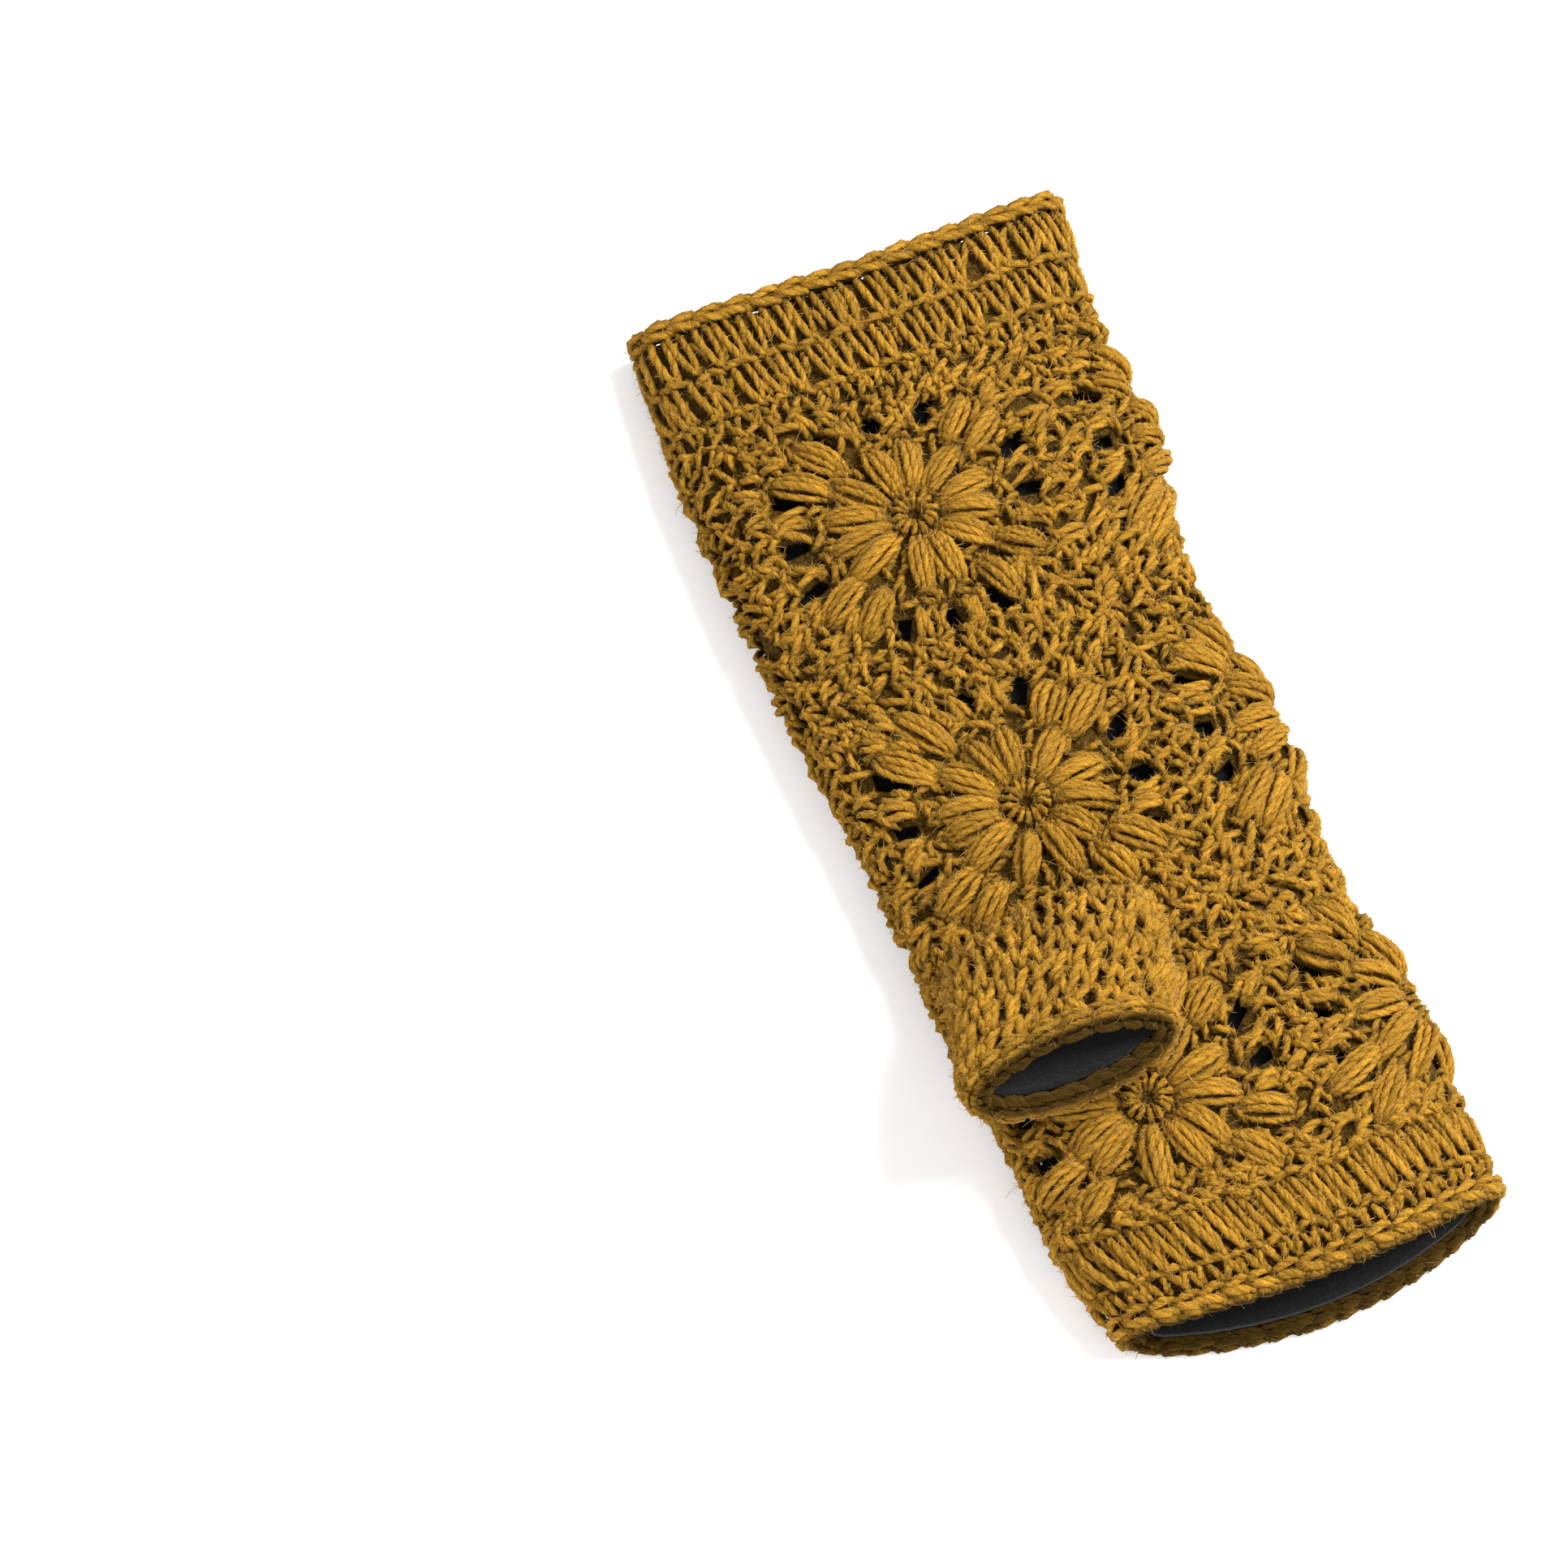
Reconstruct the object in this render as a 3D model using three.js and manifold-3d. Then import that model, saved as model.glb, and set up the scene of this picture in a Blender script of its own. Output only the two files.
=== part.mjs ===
// A fingerless crochet glove, lying on its palm: three rows of three flower squares
// joined into a tube, with a cuff and a chain edging at each end, a short thumb stall
// and a fleece lining. Millimetres, +Z up, the fingers towards -Y and the wrist
// towards +Y. The origin is below the middle of the glove, on the surface it lies on.

import * as THREE from 'three';
import { mergeVertices } from 'three/addons/utils/BufferGeometryUtils.js';
import Module from 'manifold-3d';

const wasm = await Module();
wasm.setup();

// Lengths of the pieces, one after the other from the finger rim to the wrist rim
const FINGER_EDGING = 4.2;
const FINGER_CUFF = 16.6;
const FINGER_ROW = 57;
const MIDDLE_ROW = 69.5;
const WRIST_ROW = 67.5;
const WRIST_CUFF = 28.4;
const WRIST_EDGING = 4.2;

// The flattened tube: its width and height over the knuckles, without the flowers
const HAND_WIDTH = 88;
const HAND_HEIGHT = 22.5;
const SIDE_BOW = 4.6;
const LOWER_LIP = 4.4;
const COLUMN_OFFSET = -20.2;
const COLUMN_DRIFT = 0.067;

// Walls and the room left between pieces
const WOOL_WALL = 2.8;
const LINING_WALL = 1.6;
const LINING_ROOM = 1.3;
const PIECE_GAP = 0.3;
const LINING_SET_BACK = 5;

// The flower of a square: radii of its rings and how far they stand proud
const RING_RADIUS = 3.6;
const RING_RELIEF = 0.9;
const EYE_DEPTH = 0.9;
const PETAL_ROOT = 7;
const PETAL_CROWN = 13.5;
const PETAL_TIP = 20.5;
const PETAL_RELIEF = 2.6;
const PUFF_RELIEF = 2.1;

// The thumb: the slot in the seam below the middle row, and the stall worked round it
const SLOT_OFFSET = -21;
const SLOT_HALF_WIDTH = 21.5;
const SLOT_HALF_LENGTH = 9.2;
const STALL_REACH = 25;
const STALL_RISE = 12.4;
const STALL_SIDE_SHIFT = 7.4;
const STALL_HALF_HEIGHT = 8;
const THUMB_LINING_WALL = 1.2;
const THUMB_LINING_ROOM = 0.6;
const THUMB_EDGING = 3.6;

// How much an edging is thicker than the wall that it ends
const EDGING_EXTRA = 1.2;
const COURSE_RELIEF = 0.7;

// Where each piece starts, counted from the finger rim
const FINGER_CUFF_START = FINGER_EDGING;
const FINGER_ROW_START = FINGER_CUFF_START + FINGER_CUFF;
const MIDDLE_ROW_START = FINGER_ROW_START + FINGER_ROW;
const WRIST_ROW_START = MIDDLE_ROW_START + MIDDLE_ROW;
const WRIST_CUFF_START = WRIST_ROW_START + WRIST_ROW;
const WRIST_EDGING_START = WRIST_CUFF_START + WRIST_CUFF;
const FABRIC_LENGTH = WRIST_EDGING_START + WRIST_EDGING;

// Sections of the tube: along as a share of the length, width and height as shares of
// the hand's, centre as the section's side shift in shares of the width
const tubeSections = [
  { along: 0.000, width: 0.903, centre: 0.026, height: 0.78 },
  { along: 0.086, width: 0.955, centre: 0.002, height: 0.87 },
  { along: 0.179, width: 0.972, centre: 0.007, height: 0.98 },
  { along: 0.317, width: 0.958, centre: -0.018, height: 0.97 },
  { along: 0.454, width: 0.995, centre: 0.000, height: 1.00 },
  { along: 0.596, width: 0.990, centre: -0.026, height: 0.98 },
  { along: 0.741, width: 1.067, centre: 0.007, height: 1.00 },
  { along: 0.871, width: 1.073, centre: 0.019, height: 0.89 },
  { along: 1.000, width: 1.098, centre: 0.060, height: 0.80 },
];
const SHOULDER_SHARE = 0.42;
const DOME_POWER = 2.35;
const QUARTER_STEPS = 24;

const sectionCurve = new THREE.CatmullRomCurve3(
  tubeSections.map((row) => new THREE.Vector3(row.width, row.centre, row.height)),
  false, 'catmullrom', 0.5);

// Width, side shift and height of the tube at a place along it
function sizesAt(along) {
  const share = THREE.MathUtils.clamp(along / FABRIC_LENGTH, 0, 1);
  const last = tubeSections.length - 1;
  let row = 0;
  while (row < last - 1 && tubeSections[row + 1].along < share) row += 1;
  const from = tubeSections[row].along;
  const part = (share - from) / (tubeSections[row + 1].along - from);
  return sectionCurve.getPoint((row + part) / last);
}

// The closed outline of one section, clockwise from the middle of its top: a dome down
// to each shoulder, a round lower corner and a flat underside
function outlineAt(along) {
  const sizes = sizesAt(along);
  const half = sizes.x * HAND_WIDTH / 2;
  const middle = sizes.y * HAND_WIDTH;
  const height = sizes.z * HAND_HEIGHT;
  const shoulder = height * SHOULDER_SHARE;
  const right = [];
  for (let i = 0; i < QUARTER_STEPS; i += 1) {
    const turn = (i / QUARTER_STEPS) * Math.PI / 2;
    right.push([half * Math.sin(turn) ** (2 / DOME_POWER),
      shoulder + (height - shoulder) * Math.cos(turn) ** (2 / DOME_POWER)]);
  }
  for (let i = 0; i <= QUARTER_STEPS; i += 1) {
    const turn = (i / QUARTER_STEPS) * Math.PI / 2;
    right.push([half - shoulder + shoulder * Math.cos(turn), shoulder - shoulder * Math.sin(turn)]);
  }
  const left = right.slice(1).reverse().map(([x, z]) => [-x, z]);
  return { half, middle, shoulder, ring: [...right, ...left].map(([x, z]) => [x + middle, z]) };
}

// The same outline with its arc lengths and outward directions, kept for each place
const keptSections = new Map();
function sectionAt(along) {
  const key = Math.round(along * 1000);
  if (keptSections.has(key)) return keptSections.get(key);
  const { half, middle, shoulder, ring } = outlineAt(along);
  const count = ring.length;
  const lengths = [0];
  for (let i = 0; i < count; i += 1) {
    const next = ring[(i + 1) % count];
    lengths.push(lengths[i] + Math.hypot(next[0] - ring[i][0], next[1] - ring[i][1]));
  }
  const normals = ring.map((_, i) => {
    const before = ring[(i + count - 1) % count];
    const after = ring[(i + 1) % count];
    const across = [after[0] - before[0], after[1] - before[1]];
    const size = Math.hypot(...across);
    return [-across[1] / size, across[0] / size];
  });
  const section = { half, middle, shoulder, ring, lengths, normals, perimeter: lengths[count] };
  keptSections.set(key, section);
  return section;
}

// A point of the glove: share of the way round from the top, place along the tube and
// depth below the wool's outer face. What stands proud is pressed flat underneath.
const PRESS_START = 0.5;
const PRESS_END = 0.97;
function skin(share, along, depth = 0) {
  const section = sectionAt(along);
  const wrapped = share - Math.floor(share);
  const target = wrapped * section.perimeter;
  let low = 0;
  let high = section.ring.length;
  while (high - low > 1) {
    const mid = (low + high) >> 1;
    if (section.lengths[mid] <= target) low = mid; else high = mid;
  }
  const next = (low + 1) % section.ring.length;
  const part = (target - section.lengths[low]) / (section.lengths[low + 1] - section.lengths[low]);
  const mix = (a, b) => a + (b - a) * part;
  const x = mix(section.ring[low][0], section.ring[next][0]);
  const z = mix(section.ring[low][1], section.ring[next][1]);
  const outward = new THREE.Vector2(mix(section.normals[low][0], section.normals[next][0]),
    mix(section.normals[low][1], section.normals[next][1])).normalize();
  const pressed = THREE.MathUtils.smoothstep(-outward.y, PRESS_START, PRESS_END);
  const inward = depth < 0 ? depth * (1 - pressed) : depth;
  const side = THREE.MathUtils.clamp((x - section.middle) / section.half, -1, 1) ** 2;
  const lip = z < section.shoulder ? LOWER_LIP * (1 - side) * Math.max(0, 1 - along / MIDDLE_ROW_START) : 0;
  return new THREE.Vector3(x - outward.x * inward, along - FABRIC_LENGTH / 2 + SIDE_BOW * side - lip,
    z - outward.y * inward);
}

// Middle of a column of squares as a share of the way round
const COLUMNS = 3;
const MIDDLE_PERIMETER = sectionAt(FABRIC_LENGTH / 2).perimeter;
function columnShare(column, along) {
  return (COLUMN_OFFSET + COLUMN_DRIFT * along) / MIDDLE_PERIMETER + column / COLUMNS;
}

// Shares round the tube for a wall of few facets, closest where the wall turns most
function sharesByTurning(count) {
  const section = sectionAt(FABRIC_LENGTH / 2);
  const sum = [0];
  section.normals.forEach((normal, i) => {
    const next = section.normals[(i + 1) % section.normals.length];
    const turn = Math.acos(THREE.MathUtils.clamp(normal[0] * next[0] + normal[1] * next[1], -1, 1));
    const step = (section.lengths[i + 1] - section.lengths[i]) / section.perimeter;
    sum.push(sum[i] + step + turn / (2 * Math.PI));
  });
  return Array.from({ length: count }, (_, k) => {
    const target = (k / count) * sum[sum.length - 1];
    const i = sum.findIndex((value) => value > target) - 1;
    const part = (target - sum[i]) / (sum[i + 1] - sum[i]);
    return THREE.MathUtils.lerp(section.lengths[i], section.lengths[i + 1], part) / section.perimeter;
  });
}

// A closed body from points and triangles, turned so that its faces look outwards
function bodyFrom(points, faces) {
  let volume = 0;
  for (const [a, b, c] of faces) volume += points[a].dot(points[b].clone().cross(points[c]));
  const turned = volume < 0 ? faces.map(([a, b, c]) => [a, c, b]) : faces;
  const geometry = new THREE.BufferGeometry();
  geometry.setAttribute('position', new THREE.Float32BufferAttribute(points.flatMap((p) => p.toArray()), 3));
  geometry.setIndex(turned.flat());
  return geometry;
}

// A ring-shaped body from closed loops of points, each joined to the next
function ringBody(loops) {
  const count = loops[0].length;
  const faces = [];
  loops.forEach((_, i) => {
    const j = (i + 1) % loops.length;
    for (let k = 0; k < count; k += 1) {
      const n = (k + 1) % count;
      faces.push([i * count + k, j * count + k, j * count + n], [i * count + k, j * count + n, i * count + n]);
    }
  });
  return bodyFrom(loops.flat(), faces);
}

// A plug from loops of points, closed by a fan at its first and last loop
function plugBody(loops) {
  const count = loops[0].length;
  const points = loops.flat();
  const faces = [];
  for (let i = 0; i + 1 < loops.length; i += 1) {
    for (let k = 0; k < count; k += 1) {
      const n = (k + 1) % count;
      const [a, b] = [i * count, (i + 1) * count];
      faces.push([a + k, b + k, b + n], [a + k, b + n, a + n]);
    }
  }
  for (const [start, flip] of [[0, false], [(loops.length - 1) * count, true]]) {
    const middle = points.length;
    points.push(points.slice(start, start + count).reduce((sum, p) => sum.add(p), new THREE.Vector3())
      .divideScalar(count));
    for (let k = 0; k < count; k += 1) {
      const n = (k + 1) % count;
      faces.push(flip ? [middle, start + n, start + k] : [middle, start + k, start + n]);
    }
  }
  return bodyFrom(points, faces);
}

// Cutting one body out of another
function solidOf(geometry) {
  const bare = geometry.clone();
  bare.deleteAttribute('normal');
  bare.deleteAttribute('uv');
  const merged = mergeVertices(bare, 1e-5);
  return new wasm.Manifold(new wasm.Mesh({
    numProp: 3,
    vertProperties: new Float32Array(merged.attributes.position.array),
    triVerts: new Uint32Array(merged.index.array),
  }));
}
function cutAway(geometry, ...tools) {
  let solid = solidOf(geometry);
  for (const tool of tools) solid = solid.subtract(solidOf(tool));
  const mesh = solid.getMesh();
  const result = new THREE.BufferGeometry();
  result.setAttribute('position', new THREE.Float32BufferAttribute(Array.from(mesh.vertProperties), 3));
  result.setIndex(Array.from(mesh.triVerts));
  return result;
}

// The lattice of a square: rings of 24 points in the flower and 48 in the mesh round it
const PETALS = 12;
const FLOWER_POINTS = 2 * PETALS;
const EDGE_POINTS = 4 * PETALS;
const SIDE_POINTS = EDGE_POINTS / 4;
const BACK_RINGS = { front: [10], right: [7, 13.5], back: [10] };
const MESH_SHARES = [0.22, 0.6, 1];
const GAP_PLACES = [[2, 5, 8], [3, 6, 9]];
const PUFF_PLACES = [0.55, 1, 0.9];

// The edge of a square, evenly spaced along each side, from the middle of its right side
function edgePoints(reach) {
  const corners = [[reach.side, reach.up], [-reach.side, reach.up], [-reach.side, -reach.down],
    [reach.side, -reach.down]];
  return Array.from({ length: EDGE_POINTS }, (_, k) => {
    const place = (k + SIDE_POINTS / 2) / SIDE_POINTS;
    const side = Math.floor(place) % 4;
    const from = corners[(side + 3) % 4];
    const to = corners[side];
    const part = place - Math.floor(place);
    return [from[0] + (to[0] - from[0]) * part, from[1] + (to[1] - from[1]) * part];
  });
}

// One flower square. Its lattice holds a raised face and a plain back, and the cells
// named as gaps are open through both.
const columnNames = ['front', 'right', 'back'];
function squareBody(column, start, length, flower, closedSides) {
  const middle = start + flower;
  const perimeter = sectionAt(middle).perimeter;
  const half = perimeter / COLUMNS / 2;
  const reach = {
    side: half - PIECE_GAP / 2,
    up: length - flower - PIECE_GAP / 2,
    down: flower - PIECE_GAP / 2,
  };
  const edge = edgePoints(reach);
  const points = [];
  const faces = [];
  const place = (a, b, depth) => {
    points.push(skin(columnShare(column, middle + b) + a / perimeter, middle + b, depth));
    return points.length - 1;
  };
  const circle = (count, radius, depth) => Array.from({ length: count }, (_, k) => {
    const turn = (k / count) * 2 * Math.PI;
    const petal = k % 2 === 0;
    return place(radius(petal) * Math.cos(turn), radius(petal) * Math.sin(turn), depth(petal));
  });
  const puff = (k) => {
    const fromCorner = Math.abs(((k + SIDE_POINTS / 2) % SIDE_POINTS + SIDE_POINTS / 2) % SIDE_POINTS
      - SIDE_POINTS / 2);
    return fromCorner < PUFF_PLACES.length ? PUFF_PLACES[fromCorner] : 0;
  };
  const meshRing = (share, depthAt) => edge.map(([a, b], k) => {
    const turn = (k / EDGE_POINTS) * 2 * Math.PI;
    return place(THREE.MathUtils.lerp(PETAL_TIP * Math.cos(turn), a, share),
      THREE.MathUtils.lerp(PETAL_TIP * Math.sin(turn), b, share), depthAt(k));
  });

  const face = {
    eye: place(0, 0, EYE_DEPTH),
    flower: [
      circle(FLOWER_POINTS, () => RING_RADIUS, () => -RING_RELIEF),
      circle(FLOWER_POINTS, () => PETAL_ROOT, () => 0),
      circle(FLOWER_POINTS, () => PETAL_CROWN, (petal) => (petal ? -PETAL_RELIEF : -PETAL_RELIEF / 3)),
      circle(FLOWER_POINTS, (petal) => (petal ? PETAL_TIP : PETAL_TIP - 1.5), (petal) => (petal ? -0.6 : 0)),
    ],
    mesh: MESH_SHARES.map((share, i) => meshRing(share, (k) => (i === 0 ? -PUFF_RELIEF * puff(k) : 0))),
  };
  const back = {
    eye: place(0, 0, WOOL_WALL),
    flower: [
      ...BACK_RINGS[columnNames[column]].map((radius) => circle(FLOWER_POINTS, () => radius, () => WOOL_WALL)),
      circle(FLOWER_POINTS, () => PETAL_TIP - 0.7, () => WOOL_WALL),
    ],
    mesh: MESH_SHARES.map((share) => meshRing(share, () => WOOL_WALL)),
  };

  const isGap = (ring, k) => {
    if (ring !== 0) return false;
    const side = Math.floor((k + SIDE_POINTS / 2) / SIDE_POINTS) % 4;
    const cell = (k + SIDE_POINTS / 2) % SIDE_POINTS;
    return !closedSides.includes(side) && GAP_PLACES[side % 2].includes(cell);
  };
  const sheet = (lattice, flip) => {
    const add = (...corners) => faces.push(flip ? corners.reverse() : corners);
    const first = lattice.flower[0];
    for (let k = 0; k < FLOWER_POINTS; k += 1) add(lattice.eye, first[k], first[(k + 1) % FLOWER_POINTS]);
    for (let i = 0; i + 1 < lattice.flower.length; i += 1) {
      for (let k = 0; k < FLOWER_POINTS; k += 1) {
        const n = (k + 1) % FLOWER_POINTS;
        const [inner, outer] = [lattice.flower[i], lattice.flower[i + 1]];
        add(inner[k], outer[k], outer[n]);
        add(inner[k], outer[n], inner[n]);
      }
    }
    const tip = lattice.flower[lattice.flower.length - 1];
    for (let k = 0; k < FLOWER_POINTS; k += 1) {
      const n = (k + 1) % FLOWER_POINTS;
      const outer = [2 * k, 2 * k + 1, (2 * k + 2) % EDGE_POINTS].map((i) => lattice.mesh[0][i]);
      add(tip[k], outer[0], outer[1]);
      add(tip[k], outer[1], tip[n]);
      add(tip[n], outer[1], outer[2]);
    }
    for (let i = 0; i + 1 < lattice.mesh.length; i += 1) {
      for (let k = 0; k < EDGE_POINTS; k += 1) {
        if (isGap(i, k)) continue;
        const n = (k + 1) % EDGE_POINTS;
        const [inner, outer] = [lattice.mesh[i], lattice.mesh[i + 1]];
        add(inner[k], outer[k], outer[n]);
        add(inner[k], outer[n], inner[n]);
      }
    }
  };
  sheet(face, false);
  sheet(back, true);

  const wall = (a, b, c, d) => faces.push([a, b, c], [a, c, d]);
  for (let k = 0; k < EDGE_POINTS; k += 1) {
    const n = (k + 1) % EDGE_POINTS;
    const last = MESH_SHARES.length - 1;
    wall(face.mesh[last][k], back.mesh[last][k], back.mesh[last][n], face.mesh[last][n]);
    if (!isGap(0, k)) continue;
    const corner = (ring, i) => [face.mesh[ring][i], back.mesh[ring][i]];
    const loop = [corner(0, k), corner(1, k), corner(1, n), corner(0, n)];
    loop.forEach(([top, bottom], i) => {
      const [nextTop, nextBottom] = loop[(i + 1) % loop.length];
      wall(top, nextTop, nextBottom, bottom);
    });
  }
  return bodyFrom(points, faces);
}

// A band of crochet round the tube: its outer face is a row of rounded courses, given
// by where each course ends as a share of the band's length
const BAND_POINTS = 28;
function bandBody(start, length, courseEnds) {
  const from = start + PIECE_GAP / 2;
  const size = length - PIECE_GAP;
  const shares = sharesByTurning(BAND_POINTS);
  const loop = (share, depth) => shares.map((round) => skin(round, from + share * size, depth));
  const loops = [loop(0, 0)];
  courseEnds.forEach((end, i) => {
    const begin = i === 0 ? 0 : courseEnds[i - 1];
    loops.push(loop((begin + end) / 2, -COURSE_RELIEF), loop(end, 0));
  });
  loops.push(loop(1, WOOL_WALL), loop(0, WOOL_WALL));
  return ringBody(loops);
}

// A chain edging: a round bead of five sides that ends a band
const BEAD_SIDES = 5;
const EDGING_POINTS = 30;
function edgingBody(start, length) {
  const middle = start + length / 2;
  const shares = sharesByTurning(EDGING_POINTS);
  const loops = Array.from({ length: BEAD_SIDES }, (_, i) => {
    const turn = (i / BEAD_SIDES) * 2 * Math.PI;
    const depth = WOOL_WALL / 2 - (WOOL_WALL + EDGING_EXTRA) / 2 * Math.cos(turn);
    const reach = (length - PIECE_GAP) / 2 * Math.sin(turn) / Math.sin(2 * Math.PI / BEAD_SIDES);
    return shares.map((round) => skin(round, middle + reach, depth));
  });
  return ringBody(loops);
}

// The slot and what passes through it are ovals round one place on the tube
const OVAL_POINTS = 18;
const SLOT_ALONG = MIDDLE_ROW_START;
const SLOT_SHARE = SLOT_OFFSET / MIDDLE_PERIMETER;
function ovalOnSkin(halfWidth, halfLength, depth) {
  return Array.from({ length: OVAL_POINTS }, (_, k) => {
    const turn = (k / OVAL_POINTS) * 2 * Math.PI;
    return skin(SLOT_SHARE + halfWidth * Math.cos(turn) / MIDDLE_PERIMETER,
      SLOT_ALONG + halfLength * Math.sin(turn), depth);
  });
}
const CUT_PAST = 3;
function slotPlug(halfWidth, halfLength) {
  const deepest = WOOL_WALL + LINING_ROOM + LINING_WALL;
  const depths = [-CUT_PAST, 0, WOOL_WALL, deepest, deepest + CUT_PAST];
  return plugBody(depths.map((depth) => ovalOnSkin(halfWidth, halfLength, depth)));
}

// The stall leaves the slot upwards, bends over and lies towards the fingers. Reach,
// rise, shift and height are shares of the stall's; pitch and roll turn the section.
const stallSections = [
  { reach: 0.05, rise: 0.50, shift: 0.06, height: 1.12, pitch: 26, roll: 8 },
  { reach: 0.26, rise: 0.80, shift: 0.24, height: 1.06, pitch: 46, roll: 6 },
  { reach: 0.56, rise: 0.95, shift: 0.54, height: 1.00, pitch: 52, roll: 4 },
  { reach: 1.00, rise: 1.00, shift: 1.00, height: 1.00, pitch: 50, roll: 3 },
];
function stallFrame(row) {
  const root = skin(SLOT_SHARE, SLOT_ALONG);
  const pitch = THREE.MathUtils.degToRad(row.pitch);
  const roll = THREE.MathUtils.degToRad(row.roll);
  const across = new THREE.Vector3(Math.cos(roll), 0, Math.sin(roll));
  const through = new THREE.Vector3(-Math.sin(roll) * Math.sin(pitch), Math.cos(pitch),
    Math.cos(roll) * Math.sin(pitch)).normalize();
  const centre = root.clone().add(new THREE.Vector3(-row.shift * STALL_SIDE_SHIFT,
    -row.reach * STALL_REACH, row.rise * STALL_RISE));
  return { centre, across, through, ahead: across.clone().cross(through) };
}
function stallLoop(row, inset, ahead = 0) {
  const frame = stallFrame(row);
  const halfWidth = SLOT_HALF_WIDTH - PIECE_GAP - inset;
  const halfHeight = row.height * STALL_HALF_HEIGHT - inset;
  return Array.from({ length: OVAL_POINTS }, (_, k) => {
    const turn = (k / OVAL_POINTS) * 2 * Math.PI;
    return frame.centre.clone()
      .addScaledVector(frame.across, halfWidth * Math.cos(turn))
      .addScaledVector(frame.through, halfHeight * Math.sin(turn))
      .addScaledVector(frame.ahead, ahead);
  });
}
const mouth = stallSections[stallSections.length - 1];

function stallBody() {
  const [wide, long] = [SLOT_HALF_WIDTH - PIECE_GAP, SLOT_HALF_LENGTH - PIECE_GAP];
  const outside = stallSections.map((row) => stallLoop(row, 0));
  const inside = stallSections.map((row) => stallLoop(row, WOOL_WALL)).reverse();
  return ringBody([
    ovalOnSkin(wide, long, WOOL_WALL), ovalOnSkin(wide, long, 0), ...outside, ...inside,
    ovalOnSkin(wide - WOOL_WALL, long - WOOL_WALL, 0), ovalOnSkin(wide - WOOL_WALL, long - WOOL_WALL, WOOL_WALL),
  ]);
}

function stallEdgingBody() {
  const loops = Array.from({ length: BEAD_SIDES }, (_, i) => {
    const turn = (i / BEAD_SIDES) * 2 * Math.PI;
    const inset = WOOL_WALL / 2 - (WOOL_WALL + EDGING_EXTRA) / 2 * Math.cos(turn);
    const ahead = THUMB_EDGING / 2 * Math.sin(turn) / Math.sin(2 * Math.PI / BEAD_SIDES);
    return stallLoop(mouth, inset, PIECE_GAP + THUMB_EDGING / 2 + ahead);
  });
  return ringBody(loops);
}

// The thumb lining stands in the stall and passes through the hand lining
const THUMB_LINING_INSET = WOOL_WALL + THUMB_LINING_ROOM;
const THUMB_LINING_OVAL = [SLOT_HALF_WIDTH - PIECE_GAP - THUMB_LINING_INSET,
  SLOT_HALF_LENGTH - PIECE_GAP - THUMB_LINING_INSET];
function thumbLiningBody() {
  const [wide, long] = THUMB_LINING_OVAL;
  const [thinWide, thinLong] = [wide - THUMB_LINING_WALL, long - THUMB_LINING_WALL];
  const deepest = WOOL_WALL + LINING_ROOM + LINING_WALL;
  const lined = (inset) => stallSections.map((row) => stallLoop(row, inset));
  const outside = lined(THUMB_LINING_INSET);
  const inside = lined(THUMB_LINING_INSET + THUMB_LINING_WALL).reverse();
  return ringBody([
    ovalOnSkin(wide, long, deepest), ovalOnSkin(wide, long, 0), ...outside, ...inside,
    ovalOnSkin(thinWide, thinLong, 0), ovalOnSkin(thinWide, thinLong, deepest),
  ]);
}

// The hand lining follows the inside of the wool from cuff to cuff
const LINING_POINTS = 23;
function handLiningBody() {
  const shares = sharesByTurning(LINING_POINTS);
  const outer = WOOL_WALL + LINING_ROOM;
  const places = tubeSections.map((row) => (
    THREE.MathUtils.clamp(row.along * FABRIC_LENGTH, LINING_SET_BACK, FABRIC_LENGTH - LINING_SET_BACK)));
  const loops = (depth) => places.map((along) => shares.map((round) => skin(round, along, depth)));
  const tube = ringBody([...loops(outer), ...loops(outer + LINING_WALL).reverse()]);
  const [wide, long] = THUMB_LINING_OVAL;
  return cutAway(tube, slotPlug(wide + PIECE_GAP, long + PIECE_GAP));
}

// Materials: dyed wool yarn and brushed fleece
const wool = new THREE.MeshStandardMaterial({ color: 0xb8862a, roughness: 0.95, metalness: 0 });
const fleece = new THREE.MeshStandardMaterial({ color: 0x1f1f20, roughness: 1, metalness: 0 });

const glove = new THREE.Group();
function add(name, geometry, material) {
  const mesh = new THREE.Mesh(geometry, material);
  mesh.name = name;
  glove.add(mesh);
}

// Nine squares: each row with the place of its flowers, counted from its finger side.
// Side 1 of a square looks to the wrist and side 3 to the fingers.
const squareRows = [
  { name: 'finger', start: FINGER_ROW_START, length: FINGER_ROW, flower: FINGER_ROW - 34.2, closed: [3] },
  { name: 'middle', start: MIDDLE_ROW_START, length: MIDDLE_ROW, flower: 34.6, closed: [] },
  { name: 'wrist', start: WRIST_ROW_START, length: WRIST_ROW, flower: 35.2, closed: [] },
];
const thumbSide = { finger: 1, middle: 3 };
const thumbSlot = slotPlug(SLOT_HALF_WIDTH, SLOT_HALF_LENGTH);
for (const row of squareRows) {
  columnNames.forEach((column, i) => {
    const atThumb = column === 'front' && row.name in thumbSide;
    const closed = atThumb ? [...row.closed, thumbSide[row.name]] : row.closed;
    const square = squareBody(i, row.start, row.length, row.flower, closed);
    add(`square_${row.name}_${column}`, atThumb ? cutAway(square, thumbSlot) : square, wool);
  });
}

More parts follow.
